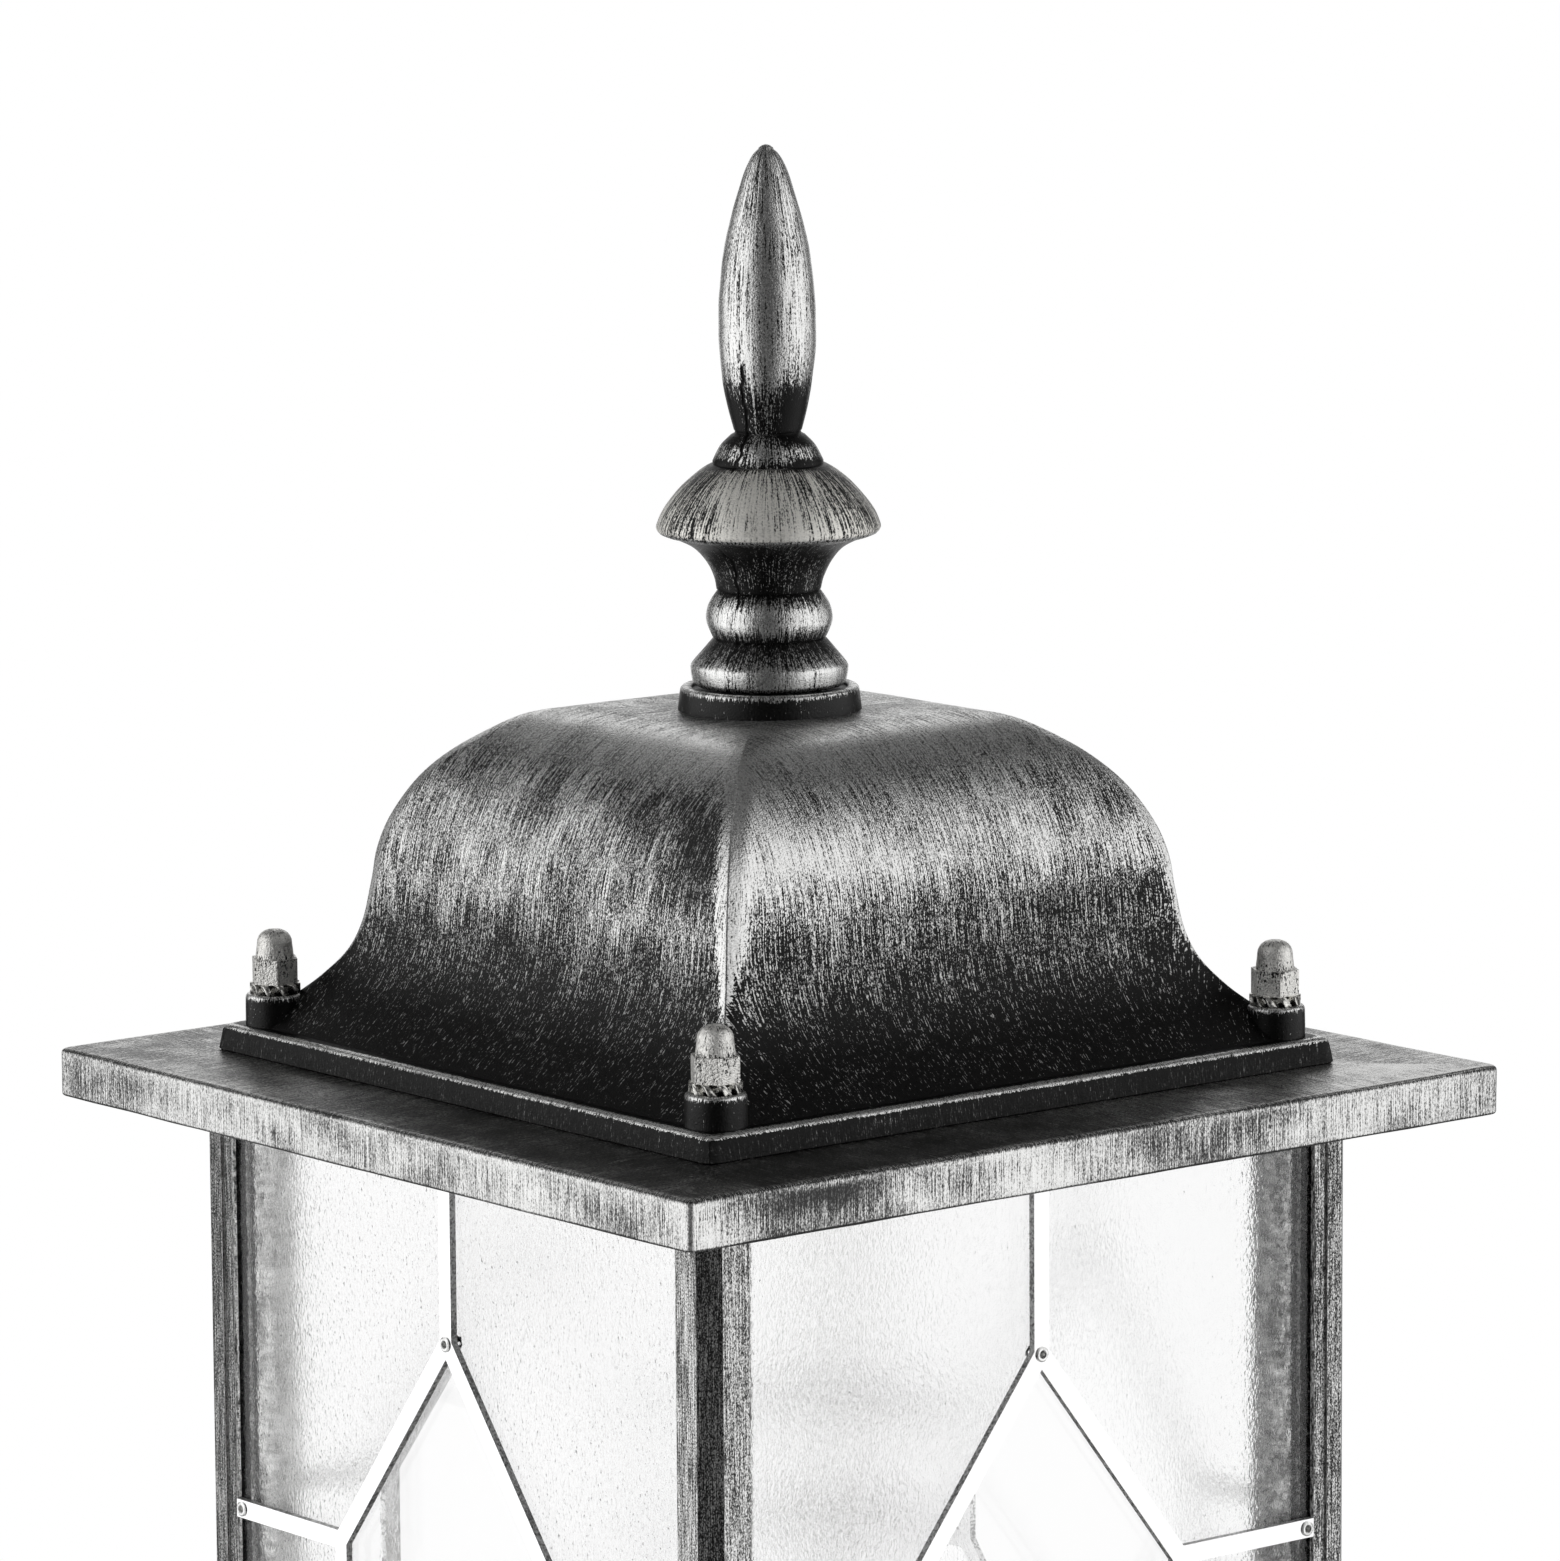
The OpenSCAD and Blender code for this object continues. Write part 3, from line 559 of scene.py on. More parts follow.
def metal(name, seed, base=(0.55, 0.54, 0.52), dark=0.5, rough=0.3, scale=(1.2, 1.2, 1.2), metallic=1.0, bump=0.12, spread=0.15):
    """Bare or plated metal, mottled with fine stains and scratches."""
    mat, nt, bsdf = fresh(name)
    p = _scaled(nt, nt.nodes.new("ShaderNodeTexCoord").outputs["Object"], 1000.0)
    p = vec(nt, "ADD", p, (seed * 3.3, seed * 7.9, seed * 1.3))
    n1 = raw_noise(nt, vec(nt, "MULTIPLY", p, scale), 3.0, 0.6)
    n2 = raw_noise(nt, vec(nt, "MULTIPLY", p, (0.25, 0.25, 0.25)), 2.0, 0.5)
    fac = calc(nt, "MULTIPLY_ADD", n1, 1.4, 0.62)
    fac = calc(nt, "MULTIPLY_ADD", n2, 0.7, fac, clamp=True)
    nt.links.new(mix_colour(nt, fac, rgb(*[c * dark for c in base]), rgb(*base)), bsdf.inputs["Base Color"])
    bsdf.inputs["Metallic"].default_value = metallic
    nt.links.new(calc(nt, "MULTIPLY_ADD", n1, spread, rough, clamp=True), bsdf.inputs["Roughness"])
    b = node(nt, "ShaderNodeBump", {"Strength": bump, "Distance": 0.0001, "Height": n1})
    nt.links.new(b.outputs[0], bsdf.inputs["Normal"])
    return mat


def glass(name, lateral):
    """Float glass with a fine ripple outside its hexagon; lateral is 0 where the pane runs along X, 1 along Y."""
    mat, nt, bsdf = fresh(name)
    p = _scaled(nt, nt.nodes.new("ShaderNodeTexCoord").outputs["Object"], 1000.0)
    p = vec(nt, "SUBTRACT", p, tuple(HEAD))
    sep = node(nt, "ShaderNodeSeparateXYZ", {0: p})
    u = calc(nt, "ABSOLUTE", sep.outputs[lateral])
    z = calc(nt, "ABSOLUTE", calc(nt, "ADD", sep.outputs[2], 98.0))
    edge = calc(nt, "MULTIPLY_ADD", u, -42.4 / 33.2, 54.4)
    inside = calc(nt, "MULTIPLY", calc(nt, "LESS_THAN", u, 33.2), calc(nt, "LESS_THAN", z, edge))
    ripple = calc(nt, "SUBTRACT", 1.0, inside)
    q = vec(nt, "MULTIPLY", p, (1.7, 1.7, 0.9))
    n1 = raw_noise(nt, q, 1.0, 0.5, 0.6)
    q2 = vec(nt, "MULTIPLY", p, (0.35, 0.35, 0.25))
    n2 = raw_noise(nt, q2, 1.0, 0.5, 0.0)
    h = calc(nt, "MULTIPLY_ADD", n2, 0.2, n1)
    h = calc(nt, "MULTIPLY", h, ripple)
    b = node(nt, "ShaderNodeBump", {"Strength": 1.0, "Distance": 0.00003, "Height": h})
    nt.links.new(b.outputs[0], bsdf.inputs["Normal"])
    nt.links.new(mix_colour(nt, ripple, rgb(0.99), rgb(0.99)), bsdf.inputs["Base Color"])
    nt.links.new(calc(nt, "MULTIPLY", ripple, 0.085), bsdf.inputs["Roughness"])
    bsdf.inputs["Transmission Weight"].default_value = 1.0
    bsdf.inputs["IOR"].default_value = 1.46
    return mat


def rough_plastic(name, seed, base, rough=0.5, grain=0.8, vary=0.2):
    mat, nt, bsdf = fresh(name)
    p = _scaled(nt, nt.nodes.new("ShaderNodeTexCoord").outputs["Object"], 1000.0)
    p = vec(nt, "ADD", p, (seed * 2.3, seed * 4.9, seed * 6.3))
    n1 = raw_noise(nt, vec(nt, "MULTIPLY", p, (grain, grain, grain)), 3.0, 0.6)
    n2 = raw_noise(nt, vec(nt, "MULTIPLY", p, (0.12, 0.12, 0.12)), 2.0, 0.5)
    fac = calc(nt, "MULTIPLY_ADD", n2, 1.0, calc(nt, "MULTIPLY_ADD", n1, 0.8, 0.5), clamp=True)
    nt.links.new(mix_colour(nt, fac, rgb(*[c * (1 - vary) for c in base]), rgb(*base)), bsdf.inputs["Base Color"])
    nt.links.new(calc(nt, "MULTIPLY_ADD", n1, 0.15, rough, clamp=True), bsdf.inputs["Roughness"])
    b = node(nt, "ShaderNodeBump", {"Strength": 0.2, "Distance": 0.0001, "Height": n1})
    nt.links.new(b.outputs[0], bsdf.inputs["Normal"])
    return mat


M_BELL = patina("patina_bell", 1, fleck=(6.4, 2.5), streak=(4.5, 0.11), weights=(0.72, 0.66, 0.22), thin=0.55, dash=(3.9, 0.7))
M_PLATE = patina("patina_plate", 2, fleck=(6.0, 1.6), streak=(4.8, 0.12), patch=(0.07, 0.14), weights=(0.52, 0.62, 0.30), soft=1.2, spec=0.4)
M_FINIAL = patina("patina_finial", 3, fleck=(4.8, 1.6), streak=(3.4, 0.11), weights=(0.62, 0.64, 0.25), soft=1.0, rough_s=0.27)
M_CAP = patina("patina_cap", 6, silver=0.97, fleck=(4.8, 1.8), streak=(3.2, 0.12), weights=(0.58, 0.85, 0.35), soft=1.0, rough_s=0.62, tint=(1.0, 0.985, 0.95))
M_POST = patina("patina_post", 4, fleck=(6.2, 2.4), streak=(5.4, 0.14), patch=(0.3, 0.04), weights=(0.80, 0.55, 0.15), soft=1.7)
M_CAST = patina("patina_cast", 5, spec=0.3, thin=0.9)
M_ARM = patina("patina_arm", 12, fleck=(3.6, 3.6), streak=(1.5, 1.5), patch=(0.12, 0.12), spec=0.3, thin=0.9)
M_NUT = patina("bright_nut", 9, silver=0.97, thin=1.0, fleck=(3.4, 1.8), streak=(2.2, 0.5), patch=(0.3, 0.3), weights=(0.65, 0.5, 0.3), soft=0.9,
               rough_s=0.48, bump=0.6, tint=(1.0, 0.99, 0.97), spec=0.3)
M_WASHER = metal("toothed_washer", 7, (0.93, 0.92, 0.88), dark=0.6, rough=0.28, scale=(2.0, 2.0, 2.0))
M_RIVET = metal("rivet", 11, (0.93, 0.93, 0.92), dark=0.7, rough=0.3, scale=(1.0, 1.0, 1.0))
M_CAME = metal("came_face", 2, (0.99, 0.99, 0.99), dark=0.95, rough=0.16, scale=(0.4, 0.4, 0.4), bump=0.04, spread=0.06)
M_INNER = patina("patina_inner", 8, silver=1.0, fleck=(3.0, 1.0), streak=(2.0, 0.2), soft=3.0, rough_s=0.28, rough_b=0.4)
M_CAME_SIDE = metal("came_side", 3, (0.90, 0.90, 0.90), dark=0.35, rough=0.5, scale=(1.7, 1.7, 1.7), bump=0.3)
M_STEEL = metal("plated_steel", 4, (0.56, 0.55, 0.52), dark=0.6, rough=0.34)
M_BRASS = metal("contact_brass", 5, (0.80, 0.62, 0.30), dark=0.6, rough=0.3)
M_RUBBER = rough_plastic("gasket_rubber", 1, (0.045, 0.045, 0.045), 0.7)
M_PORCELAIN = rough_plastic("porcelain", 2, (0.86, 0.85, 0.81), 0.18, vary=0.06)
M_PLASTIC = rough_plastic("terminal_plastic", 3, (0.80, 0.80, 0.77), 0.42, vary=0.08)
M_SHEATH = rough_plastic("lead_sheath", 4, (0.03, 0.03, 0.03), 0.5)
M_GLASS_X = glass("ripple_glass_x", 0)
M_GLASS_Y = glass("ripple_glass_y", 1)

# ---------------------------------------------------------------- bell roof

BELL = [[70, 5], [63, 11.2], [59.4, 15], [56.4, 19.5], [54.6, 25], [53.6, 32], [52.8, 38.5], [50.8, 45],
        [47, 52], [42.2, 57.4], [36, 62], [31.5, 64.2], [26, 65]]
BELL_IN = [[62, 5], [59, 10], [55.4, 15], [53.2, 20], [51.6, 25.5], [50.6, 32], [49.8, 37.6], [48, 43.6],
           [44.6, 49.8], [40.2, 54.9], [34.6, 59.2], [30.6, 61.3], [26, 62]]
outer = [[8, 65.15], [14, 65.12], [19, 65.1], [22.5, 65.1], [25.3, 65.1]] + curve(BELL, 6)[::-1] + [[71.4, 5.0], [72.3, 4.9], [73.0, 4.5], [73.35, 3.9],
                                                                  [73.55, 2.6], [73.75, 1.3], [73.9, 0.3], [73.6, 0.0]]
inner = [[66, 0], [62, 0]] + curve(BELL_IN, 3) + [[16, 62], [8, 62]]
bell_prof = outer + inner
n_out = len(outer)
bell_rad = []
for i, (s, z) in enumerate(bell_prof):
    if i >= n_out:
        bell_rad.append(2.5)
    elif z > 64.9:
        bell_rad.append(3.0)
    else:
        bell_rad.append(float(table(z, [(0, 2.2), (5, 2.2), (9, 1.6), (15, 1.7), (24, 2.6), (34, 3.6), (60, 3.6), (65, 2.6)])))


def bell_wear_and_light(k, u, s, z, v):
    outer_side = (v < V_OUT) * 1.0
    flat = (s < 26.5) & (z > 64)
    if k == 3:
        c = table(z, [(0, .03), (4, .03), (5.5, .02), (9, .035), (13, .04), (16, .055), (20, .08), (23, .115), (27, .16), (31, .23), (35, .38), (39, .42), (43, .46), (47, .50),
                      (50, .40), (53, .29), (56, .27), (59, .50), (61, .82), (63, .94), (64.2, .90), (65, .66)])
    else:
        c = table(z, [(0, .03), (4, .03), (5.5, .02), (9, .035), (13, .04), (16, .06), (20, .09), (23, .125), (27, .15), (31, .17), (35, .25), (39, .48), (43, .72), (47, .62),
                      (50, .52), (53, .50), (56, .48), (59, .56), (61, .74), (63, .90), (64.2, .80), (65, .42)])
    c = np.where(flat, table(s, [(16, .24), (18, .32), (22, .44), (26, .48)]), c)
    c = np.where(z < 5.05, 0.004, c)
    edge = bump_at(s, 71.8, 73.4, 0.2) * bump_at(z, 4.08, 5.3, 0.2) * (z > 3)
    c = c + edge * 0.97
    near = np.abs(np.abs(u) - s)
    shown = np.where(u > 0, 1.0, 0.3) if k == 3 else np.where(u < 0, 1.0, 0.3)
    dist = s - u if k == 3 else s + u
    if k == 3:                                             # painted shade on the left face beside the hip
        c = c - bump_at(near, 2.8, 14, 3.0) * shown * table(z, [(27, 0), (33, .08), (38, .12), (43, .12), (47, .12), (50, .12), (53, .10), (57, .06), (60, 0)])
        c = c - smooth(1.5, 5.5, dist) * (1 - smooth(22, 40, dist)) * table(z, [(36, 0), (39, .06), (43, .20), (47, .29), (50, .20), (53, .10), (57, .05), (60, 0)])
        c = c + (0.08 - 0.15 * bump_at(dist, 40, 68, 8)) * bump_at(z, 32.5, 36.5, 2)
        c = c + (0.12 * smooth(55, 80, dist) - 0.05) * bump_at(z, 38.5, 41.5, 1.5)
        c = c + (1 - shown) * bump_at(z, 40, 50, 3) * 0.1
    else:                                                  # and on its other flank a painted highlight: a bright flare near the hip, with painted shade further along
        c = c + (1 - smooth(20, 42, dist)) * table(z, [(32, 0), (36, .05), (40, .07), (43, .06), (46, .31), (50, .34), (54, .15), (57, .10), (61, .05), (63, 0)])
        c = c - smooth(52, 72, dist) * table(z, [(30, 0), (34, .06), (38, .03), (44, .0), (47, .05), (49, .12), (54, .11), (58, .04), (60, 0)])
        flare = 1 - smooth(0, 3.0, near - 1.2 - 0.36 * np.maximum(z - 28, 0))
        c = np.maximum(c, flare * shown * 0.92 * bump_at(z, 27, 47, 3))
    width = table(z, [(14, .5), (24, 1.2), (34, 2.4), (60, 2.4)])
    hip = (1 - smooth(width, width * 1.45, near)) * table(z, [(12, 0), (18, .6), (24, 1), (60, 1), (63, 0)]) * np.where(flat, 0, 1)
    c = c + (0.96 - c) * hip
    soft = np.where(z < 3.9, 2.0, table(z, [(0, .3), (14, .3), (30, .65), (42, 1.05), (65, 1.2)]))
    grime = 0.10 + 0.02 * np.sin(z)
    return np.where(outer_side > 0, c, 0.02), soft, grime


def bell_warp(k, u, s, z):
    """The brush strokes lean in to the hip lower down."""
    near = np.abs(np.abs(u) - s)
    pull = 7.0 * (1 - smooth(28, 57, z)) * np.exp(-near / 10.0)
    return np.sign(u) * -pull * (0.25 if k == 3 else 1.0)


V_OUT = float(np.linalg.norm(np.diff(np.array(outer, float), axis=0), axis=1).sum()) + 0.5
bell = loft("bell_roof_cast", bell_prof, bell_rad, M_BELL, bell_wear_and_light, ms=64, mc=6, rough=(0.09, 11, 1), facet=True,
            warp=bell_warp)

# the round seat and the four bosses belong to the same casting
th64 = circle(72)
seat_prof = [[0, 63.2]] + rounded([[17.0, 63.2], [17.0, 65.0], [16.4, 69.6], [14.4, 69.4], [14.3, 69.6 - 0.9], [0, 68.7]], [0, 0, 1.0, .5, .3, 0], 4)


def seat_wear(t, r, z, v):
    c = 0.003 + 0.75 * bump_at(z, 68.75, 70, 0.2) * bump_at(r, 14.8, 17, 0.3)
    return c, 0.2 + 0 * z, 0.1 + 0 * z


parts = [lathe_data(subdivide(seat_prof, 0.8), seat_wear, th64, 17, rough=(0.05, 6, 2), seed=300)]
boss_prof = [[0, 3.0]] + rounded([[5.75, 3.0], [5.6, 5.0], [5.5, 10.9], [3.0, 11.0], [0, 11.0]], [0, 0, 0.8, 0, 0], 4)


def boss_wear(t, r, z, v):
    return 0.003 + 0.88 * bump_at(z, 10.2, 11.0, 0.2) * bump_at(r, 4.6, 5.8, 0.3), 0.25 + 0 * z, 0.1 + 0 * z


for i, (sx, sy) in enumerate([(-1, -1), (1, -1), (1, 1), (-1, 1)]):
    v, f, s, w = lathe_data(subdivide(boss_prof, 0.8), boss_wear, circle(48), 5.5, rough=(0.04, 4, 3 + i), seed=400 + 40 * i)
    parts.append((v + np.array([65.8 * sx, 65.8 * sy, 0]), f, s, w))
V, F, S, W = join(parts)
seat = build("roof_seat_and_bosses", V, F, S, W, M_CAST)
for o in (bell, seat):
    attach(o, "root")
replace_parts(bell, "bell_roof")

# ---------------------------------------------------------------- roof plate

plate_out = rounded([[54, 0], [95, 0], [95, -9.2], [92, -9.2], [92, -3], [54, -3]], [0, 0.95, 0.6, 0.5, 0.5, 0], 5)
plate_prof = subdivide(plate_out, 1.1, closed=True)
plate_rad = [8 if s < 56 else (1.4 if s > 93 else 2.0) for s, z in plate_prof]


def plate_wear_and_light(k, u, s, z, v):
    rim = (s > 94.2) & (z < -0.4)
    top = (z > -0.3)
    c = np.full_like(z, 0.10)
    along = np.where(k == 0, u, np.where(k == 3, -u, u * 0.93 + 7))
    front = table(along, [(-95, .95), (-88, .78), (-82, .34), (-74, .10), (-62, .05), (-53, .20), (-42, .68), (-20, .84), (0, .74), (12, .42),
                          (24, .34), (34, .45), (48, .62), (60, .70), (76, .62), (95, .78)])
    left = table(along, [(-95, .80), (-84, .66), (-70, .46), (-60, .74), (-44, .90), (-26, .66), (-14, .56), (0, .72), (20, .76), (50, .74), (75, .54), (95, .64)])
    side = left if k in (3, 1) else front
    low = smooth(3.0, 7.5, -z)
    r = side + low * (1 - side) * 0.22
    r = r + (0.97 - r) * bump_at(-z, 0.9, 1.7, 0.3) * (0.55 + 0.4 * np.sin(along * 0.19 + 1.0))
    r = np.where(z > -0.85, 0.34, r)
    r = r - 0.75 * bump_at(z, -9.6, -8.75, 0.18)
    c = np.where(rim, r, c)
    reach = np.abs(along + 95)
    if k == 3:
        tc = 0.13 + 0.20 * smooth(40, 160, reach)
    elif k == 2:
        tc = 0.05 + 0.32 * smooth(60, 185, reach)
    elif k == 1:
        tc = np.full_like(z, 0.48)
    else:
        tc = 0.10 + 0.36 * smooth(60, 165, reach) + 0.42 * smooth(140, 180, reach)
    tc = tc + 0.30 * smooth(93.6, 94.3, s)
    c = np.where(top, tc, c)
    c = np.where(s < 93, np.where(z < -1, 0.04, c), c)
    soft = np.where(rim, 1.0, 0.55)
    grime = np.where(rim, 0.10, 0.45)
    # painted dark reflection: the rim is darkened along its rounded vertical corner
    near = np.abs(np.abs(u) - s)
    c = np.where(rim, c * (0.35 + 0.65 * smooth(0.0, 0.8, near)), c)
    return c, soft, grime


plate = loft("roof_plate_cast", plate_prof, plate_rad, M_PLATE, plate_wear_and_light, ms=96, mc=4, rough=(0.12, 14, 5))
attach(plate, "root")
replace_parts(plate, "roof_plate")

# ---------------------------------------------------------------- finial

FOOT = [[14.3, 71.2], [14.5, 72.6], [14.3, 73.7], [12.4, 75.9], [10.4, 78.2]]
BEAD = [[10.5, 78.6], [11.5, 81], [11.6, 82.8], [11, 84.8], [9.6, 86.9]]
WAIST = [[9.6, 87.4], [10.1, 89.6], [11.6, 92.6], [14, 95.2], [17.5, 97]]
CAP = [[20.6, 99.2], [19.7, 101.4], [18, 104], [15.4, 106.9], [12.6, 109.2], [10.8, 110.3]]
COLLAR = [[10.2, 111], [9.5, 112.5], [8.5, 114.1], [6.8, 115.8]]
SPEAR = [[6.3, 116.8], [7.1, 120], [8.1, 125], [8.7, 130], [9, 135], [8.8, 141], [8, 148.5],
         [6.6, 155], [4.7, 161.7], [3.4, 165.2], [2.1, 167.4], [0, 168.9]]
spear = curve(SPEAR, 6)
spear = spear[:-4] + [[1.35, 168.25], [0.7, 168.72], [0, 168.9]]
fin_prof = ([[0, 69.6], [7, 69.6], [13.4, 69.6], [13.9, 69.9], [14.15, 70.5]] + curve(FOOT, 5) + [[10.2, 78.35]] + curve(BEAD, 5) + [[9.35, 87.15]]
            + curve(WAIST, 6) + [[19.0, 97.35], [20.0, 97.75], [20.45, 98.25], [20.65, 98.7]] + curve(CAP, 6) + [[10.2, 110.45]]
            + curve(COLLAR, 5) + [[6.2, 116.1], [6.05, 116.4]] + spear)
fin_prof = [fin_prof[0]] + subdivide(fin_prof[1:-1], 1.1) + [fin_prof[-1]]
fp = np.array(fin_prof)
fin_ref = np.where(fp[:, 1] < 78.4, 13.5, np.where(fp[:, 1] < 87.2, 11.0, np.where(fp[:, 1] < 97.5, 12.0,
                   np.where(fp[:, 1] < 110.4, 16.0, np.where(fp[:, 1] < 116.3, 9.0, 8.0)))))
MOULD = math.radians(-163.0)
FACE = math.radians(-128.98)                # the side that the photograph shows


def turn(a):
    return (a + math.pi) % (2 * math.pi) - math.pi


def mould_groove(z, t, r):
    g = 0 * z
    for a, part in ((MOULD, 1.0), (MOULD + math.pi, 0.7)):
        off = a + 0.03 * np.sin(z * 0.9) + 0.02 * np.sin(z * 2.3)
        d = np.abs(turn(t - off)) * np.maximum(r, 1)
        deep = table(z, [(69, .06), (74, .05), (80, .10), (86, .14), (88, .24), (96, .22), (98, .08), (108, .05), (112, .10), (116, .22), (124, .24),
                         (132, .16), (138, .05), (150, .02), (169, 0)])
        g = g + part * deep * (1 - smooth(0.10, 0.32, d))
    return g


def fin_wear_and_light(t, r, z, v):
    c = table(z, [(69.6, .10), (70.4, .80), (71.4, .95), (73.4, .95), (73.9, .72), (74.8, .30), (76, .14), (77.6, .05), (78.3, .02), (79.3, .10), (80.5, .55),
                  (81.5, .88), (83.7, .88), (85, .55), (86.3, .20), (87.1, .02), (88, .05), (90, .09), (93, .05), (96.5, .03), (97.5, .15), (98.3, .85),
                  (99.4, .97), (100.4, .86), (103, .84), (107, .82), (109.5, .66), (110.4, .03), (111.2, .06), (112.3, .40), (113.6, .42), (114.6, .12),
                  (116.4, .02), (117.5, .03), (122, .05), (125, .18), (127, .60), (130, .90), (136, .90), (142, .84), (150, .76), (160, .62), (166, .50), (169, .35)])
    g = sum((1 - smooth(0.15, 0.45, np.abs(turn(t - a - 0.03 * np.sin(z * 0.9) - 0.02 * np.sin(z * 2.3))) * np.maximum(r, 1))) for a in (MOULD, MOULD + math.pi))
    line = table(z, [(69, .3), (86, .5), (88, 1), (97, 1), (98, .4), (108, .3), (112, .6), (116, 1), (128, 1), (136, .4), (150, .1), (169, 0)])
    c = c - 0.8 * g * line
    # painted highlight: the cap keeps its full silver only on the side toward the camera and is darker round the rest
    c = c - 0.42 * bump_at(z, 98.5, 110, 1.0) * smooth(0.4, 1.0, np.abs(turn(t - FACE)))
    c = c + 0.10 * np.cos(3 * (t - FACE) + (z - 104) * 0.05) * bump_at(z, 98, 130, 6)
    soft = table(z, [(69.6, .3), (72, .5), (80, .8), (84, .8), (88, .3), (97, .3), (99, .6), (103, 1.0), (109, .9), (112, .4), (117, .3), (128, .8), (169, .8)])
    grime = table(z, [(69.6, .1), (98, .1), (101, .08), (110, .12), (111, .2), (126, .1), (169, .18)])
    return c, soft, grime


groove_cols = [MOULD + math.radians(x) for x in (-5, -3.4, -2.2, -1.3, -.6, 0, .6, 1.3, 2.2, 3.4, 5)]
groove_cols += [a + math.pi for a in groove_cols]
data = lathe_data(fin_prof, fin_wear_and_light, circle(150, groove_cols), fin_ref, groove=mould_groove, rough=(0.13, 5, 9), seed=700)
V, F, S, W = join([data])
level = np.array([np.mean([V[i][2] for i in f]) for f in F])
finial = build("finial_cast", V, F, S, W, None, sharp=48, mats=[M_FINIAL, M_CAP], mat_index=(level > 98.0) & (level < 110.4))
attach(finial, "root")
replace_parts(finial, "finial")

# ---------------------------------------------------------------- cage, base, arm, wall plate: CAD shapes with eased, worn edges


def cage_paint(P, N):
    x, y, z = P.T
    up = np.abs(N[:, 2]) > 0.6
    phi = np.degrees(np.arctan2(N[:, 1], N[:, 0]))
    r = np.maximum(np.abs(x), np.abs(y))
    outside = r > 74.9
    c = np.full(len(P), 0.06)
    face = outside & (np.abs(N[:, 0]) + np.abs(N[:, 1]) > 0.8)
    cham = face & (np.abs(np.abs(N[:, 0]) - np.abs(N[:, 1])) < 0.5)
    edge = face & ~cham & (np.abs(N).max(1) < 0.985)
    front_post = (x < 0) & (y < 0)
    c = np.where(face, np.where(front_post, 0.52, 0.30), c)
    c = np.where(face & (r < 76.0), np.where(front_post, 0.44, 0.36), c)
    c = np.where(cham, 0.12, c)
    back_left = (x < 0) & (y > 0)
    c = np.where(face & back_left, 0.20, c)
    c = np.where(edge, np.where(front_post, 0.6, np.where(back_left, 0.95, 0.8)), c)
    c = np.where(up & outside, 0.4, c)
    inward = (N[:, 0] * np.sign(x) < -0.3) | (N[:, 1] * np.sign(y) < -0.3)
    deep = (x > 0) & (y > 0)
    # inner faces bare silver; the back-right post's, facing the front lights, painted brightest as a painted highlight,
    # the front posts' kept darker
    c = np.where(inward, np.where(deep, 0.998, np.where(y < 0, 0.22, 0.80)), c)
    # grime below zero on the back-right post's inner faces brightens them past clean silver: painted highlight
    return c, np.where(face | inward, 0.9, 0.4), np.where(face, 0.15, np.where(inward, np.where(deep, -0.1, 0.05), 0.4))


def cage_pick(mid, no):
    inward = (no[:, 0] * np.sign(mid[:, 0]) < -0.3) | (no[:, 1] * np.sign(mid[:, 1]) < -0.3)
    return np.where(inward, 1, 0)


soften("cage", "cage_cast", 0.35, 2, 25, cage_paint, mats=[M_POST, M_INNER], pick=cage_pick)


def base_paint(P, N):
    x, y, z = P.T
    r = np.maximum(np.abs(x), np.abs(y))
    rim = (r > 80.5) & (np.abs(N[:, 2]) < 0.5)
    edge = (r > 80) & (np.abs(N[:, 2]) >= 0.5) & (np.abs(N[:, 2]) < 0.97)
    c = np.where(rim, 0.78, np.where(edge, 0.6, 0.08))
    return c, np.where(rim, 1.0, 0.5), np.where(rim, 0.12, 0.35)


soften("base_plate", "base_plate_cast", 0.3, 2, 25, base_paint, M_PLATE)


def low_paint(P, N):
    """Black with silver brushed over what stands proud."""
    q = P + HEAD
    c = np.full(len(P), 0.10)
    bev = (np.abs(N).max(1) < 0.93)
    c = np.where(bev, 0.45, c)
    return c, np.full(len(P), 0.5), np.full(len(P), 0.2)


def arm_paint(P, N):
    """Rubbed evenly all round: a tube has no edge that stands proud."""
    return np.full(len(P), 0.26), np.full(len(P), 0.5), np.full(len(P), 0.2)


soften("wall_plate", "wall_plate_cast", 0.6, 3, 20, low_paint, M_CAST)
soften("arm", "arm_cast", 0.0, 2, 25, arm_paint, M_ARM)

# ---------------------------------------------------------------- fasteners


def plain_paint(P, N):
    return np.full(len(P), 0.5), np.full(len(P), 0.5), np.zeros(len(P))


def nut_paint(P, N):
    """Bright flats, with painted shade in the crease where the hexagon meets its dome."""
    z = P[:, 2] - 12.8
    c = table(z, [(0, .985), (4.55, .985), (4.8, .4), (5.0, .4), (5.3, .88), (6.2, .99), (9, .97), (10, .8)])
    return c, np.full(len(P), 0.7), np.full(len(P), 0.1)


def far_nut_paint(P, N):
    return np.full(len(P), 0.78), np.full(len(P), 0.7), np.full(len(P), 0.1)


soften("cap_nuts", "cap_nuts_bright", 0.12, 2, 35, nut_paint, M_NUT)
soften("lock_washers", "lock_washers_bright", 0.0, 1, 35, plain_paint, M_WASHER)
soften("bar_cap_nuts", "bar_cap_nuts_bright", 0.12, 2, 35, far_nut_paint, M_NUT)

# ---------------------------------------------------------------- came lattices


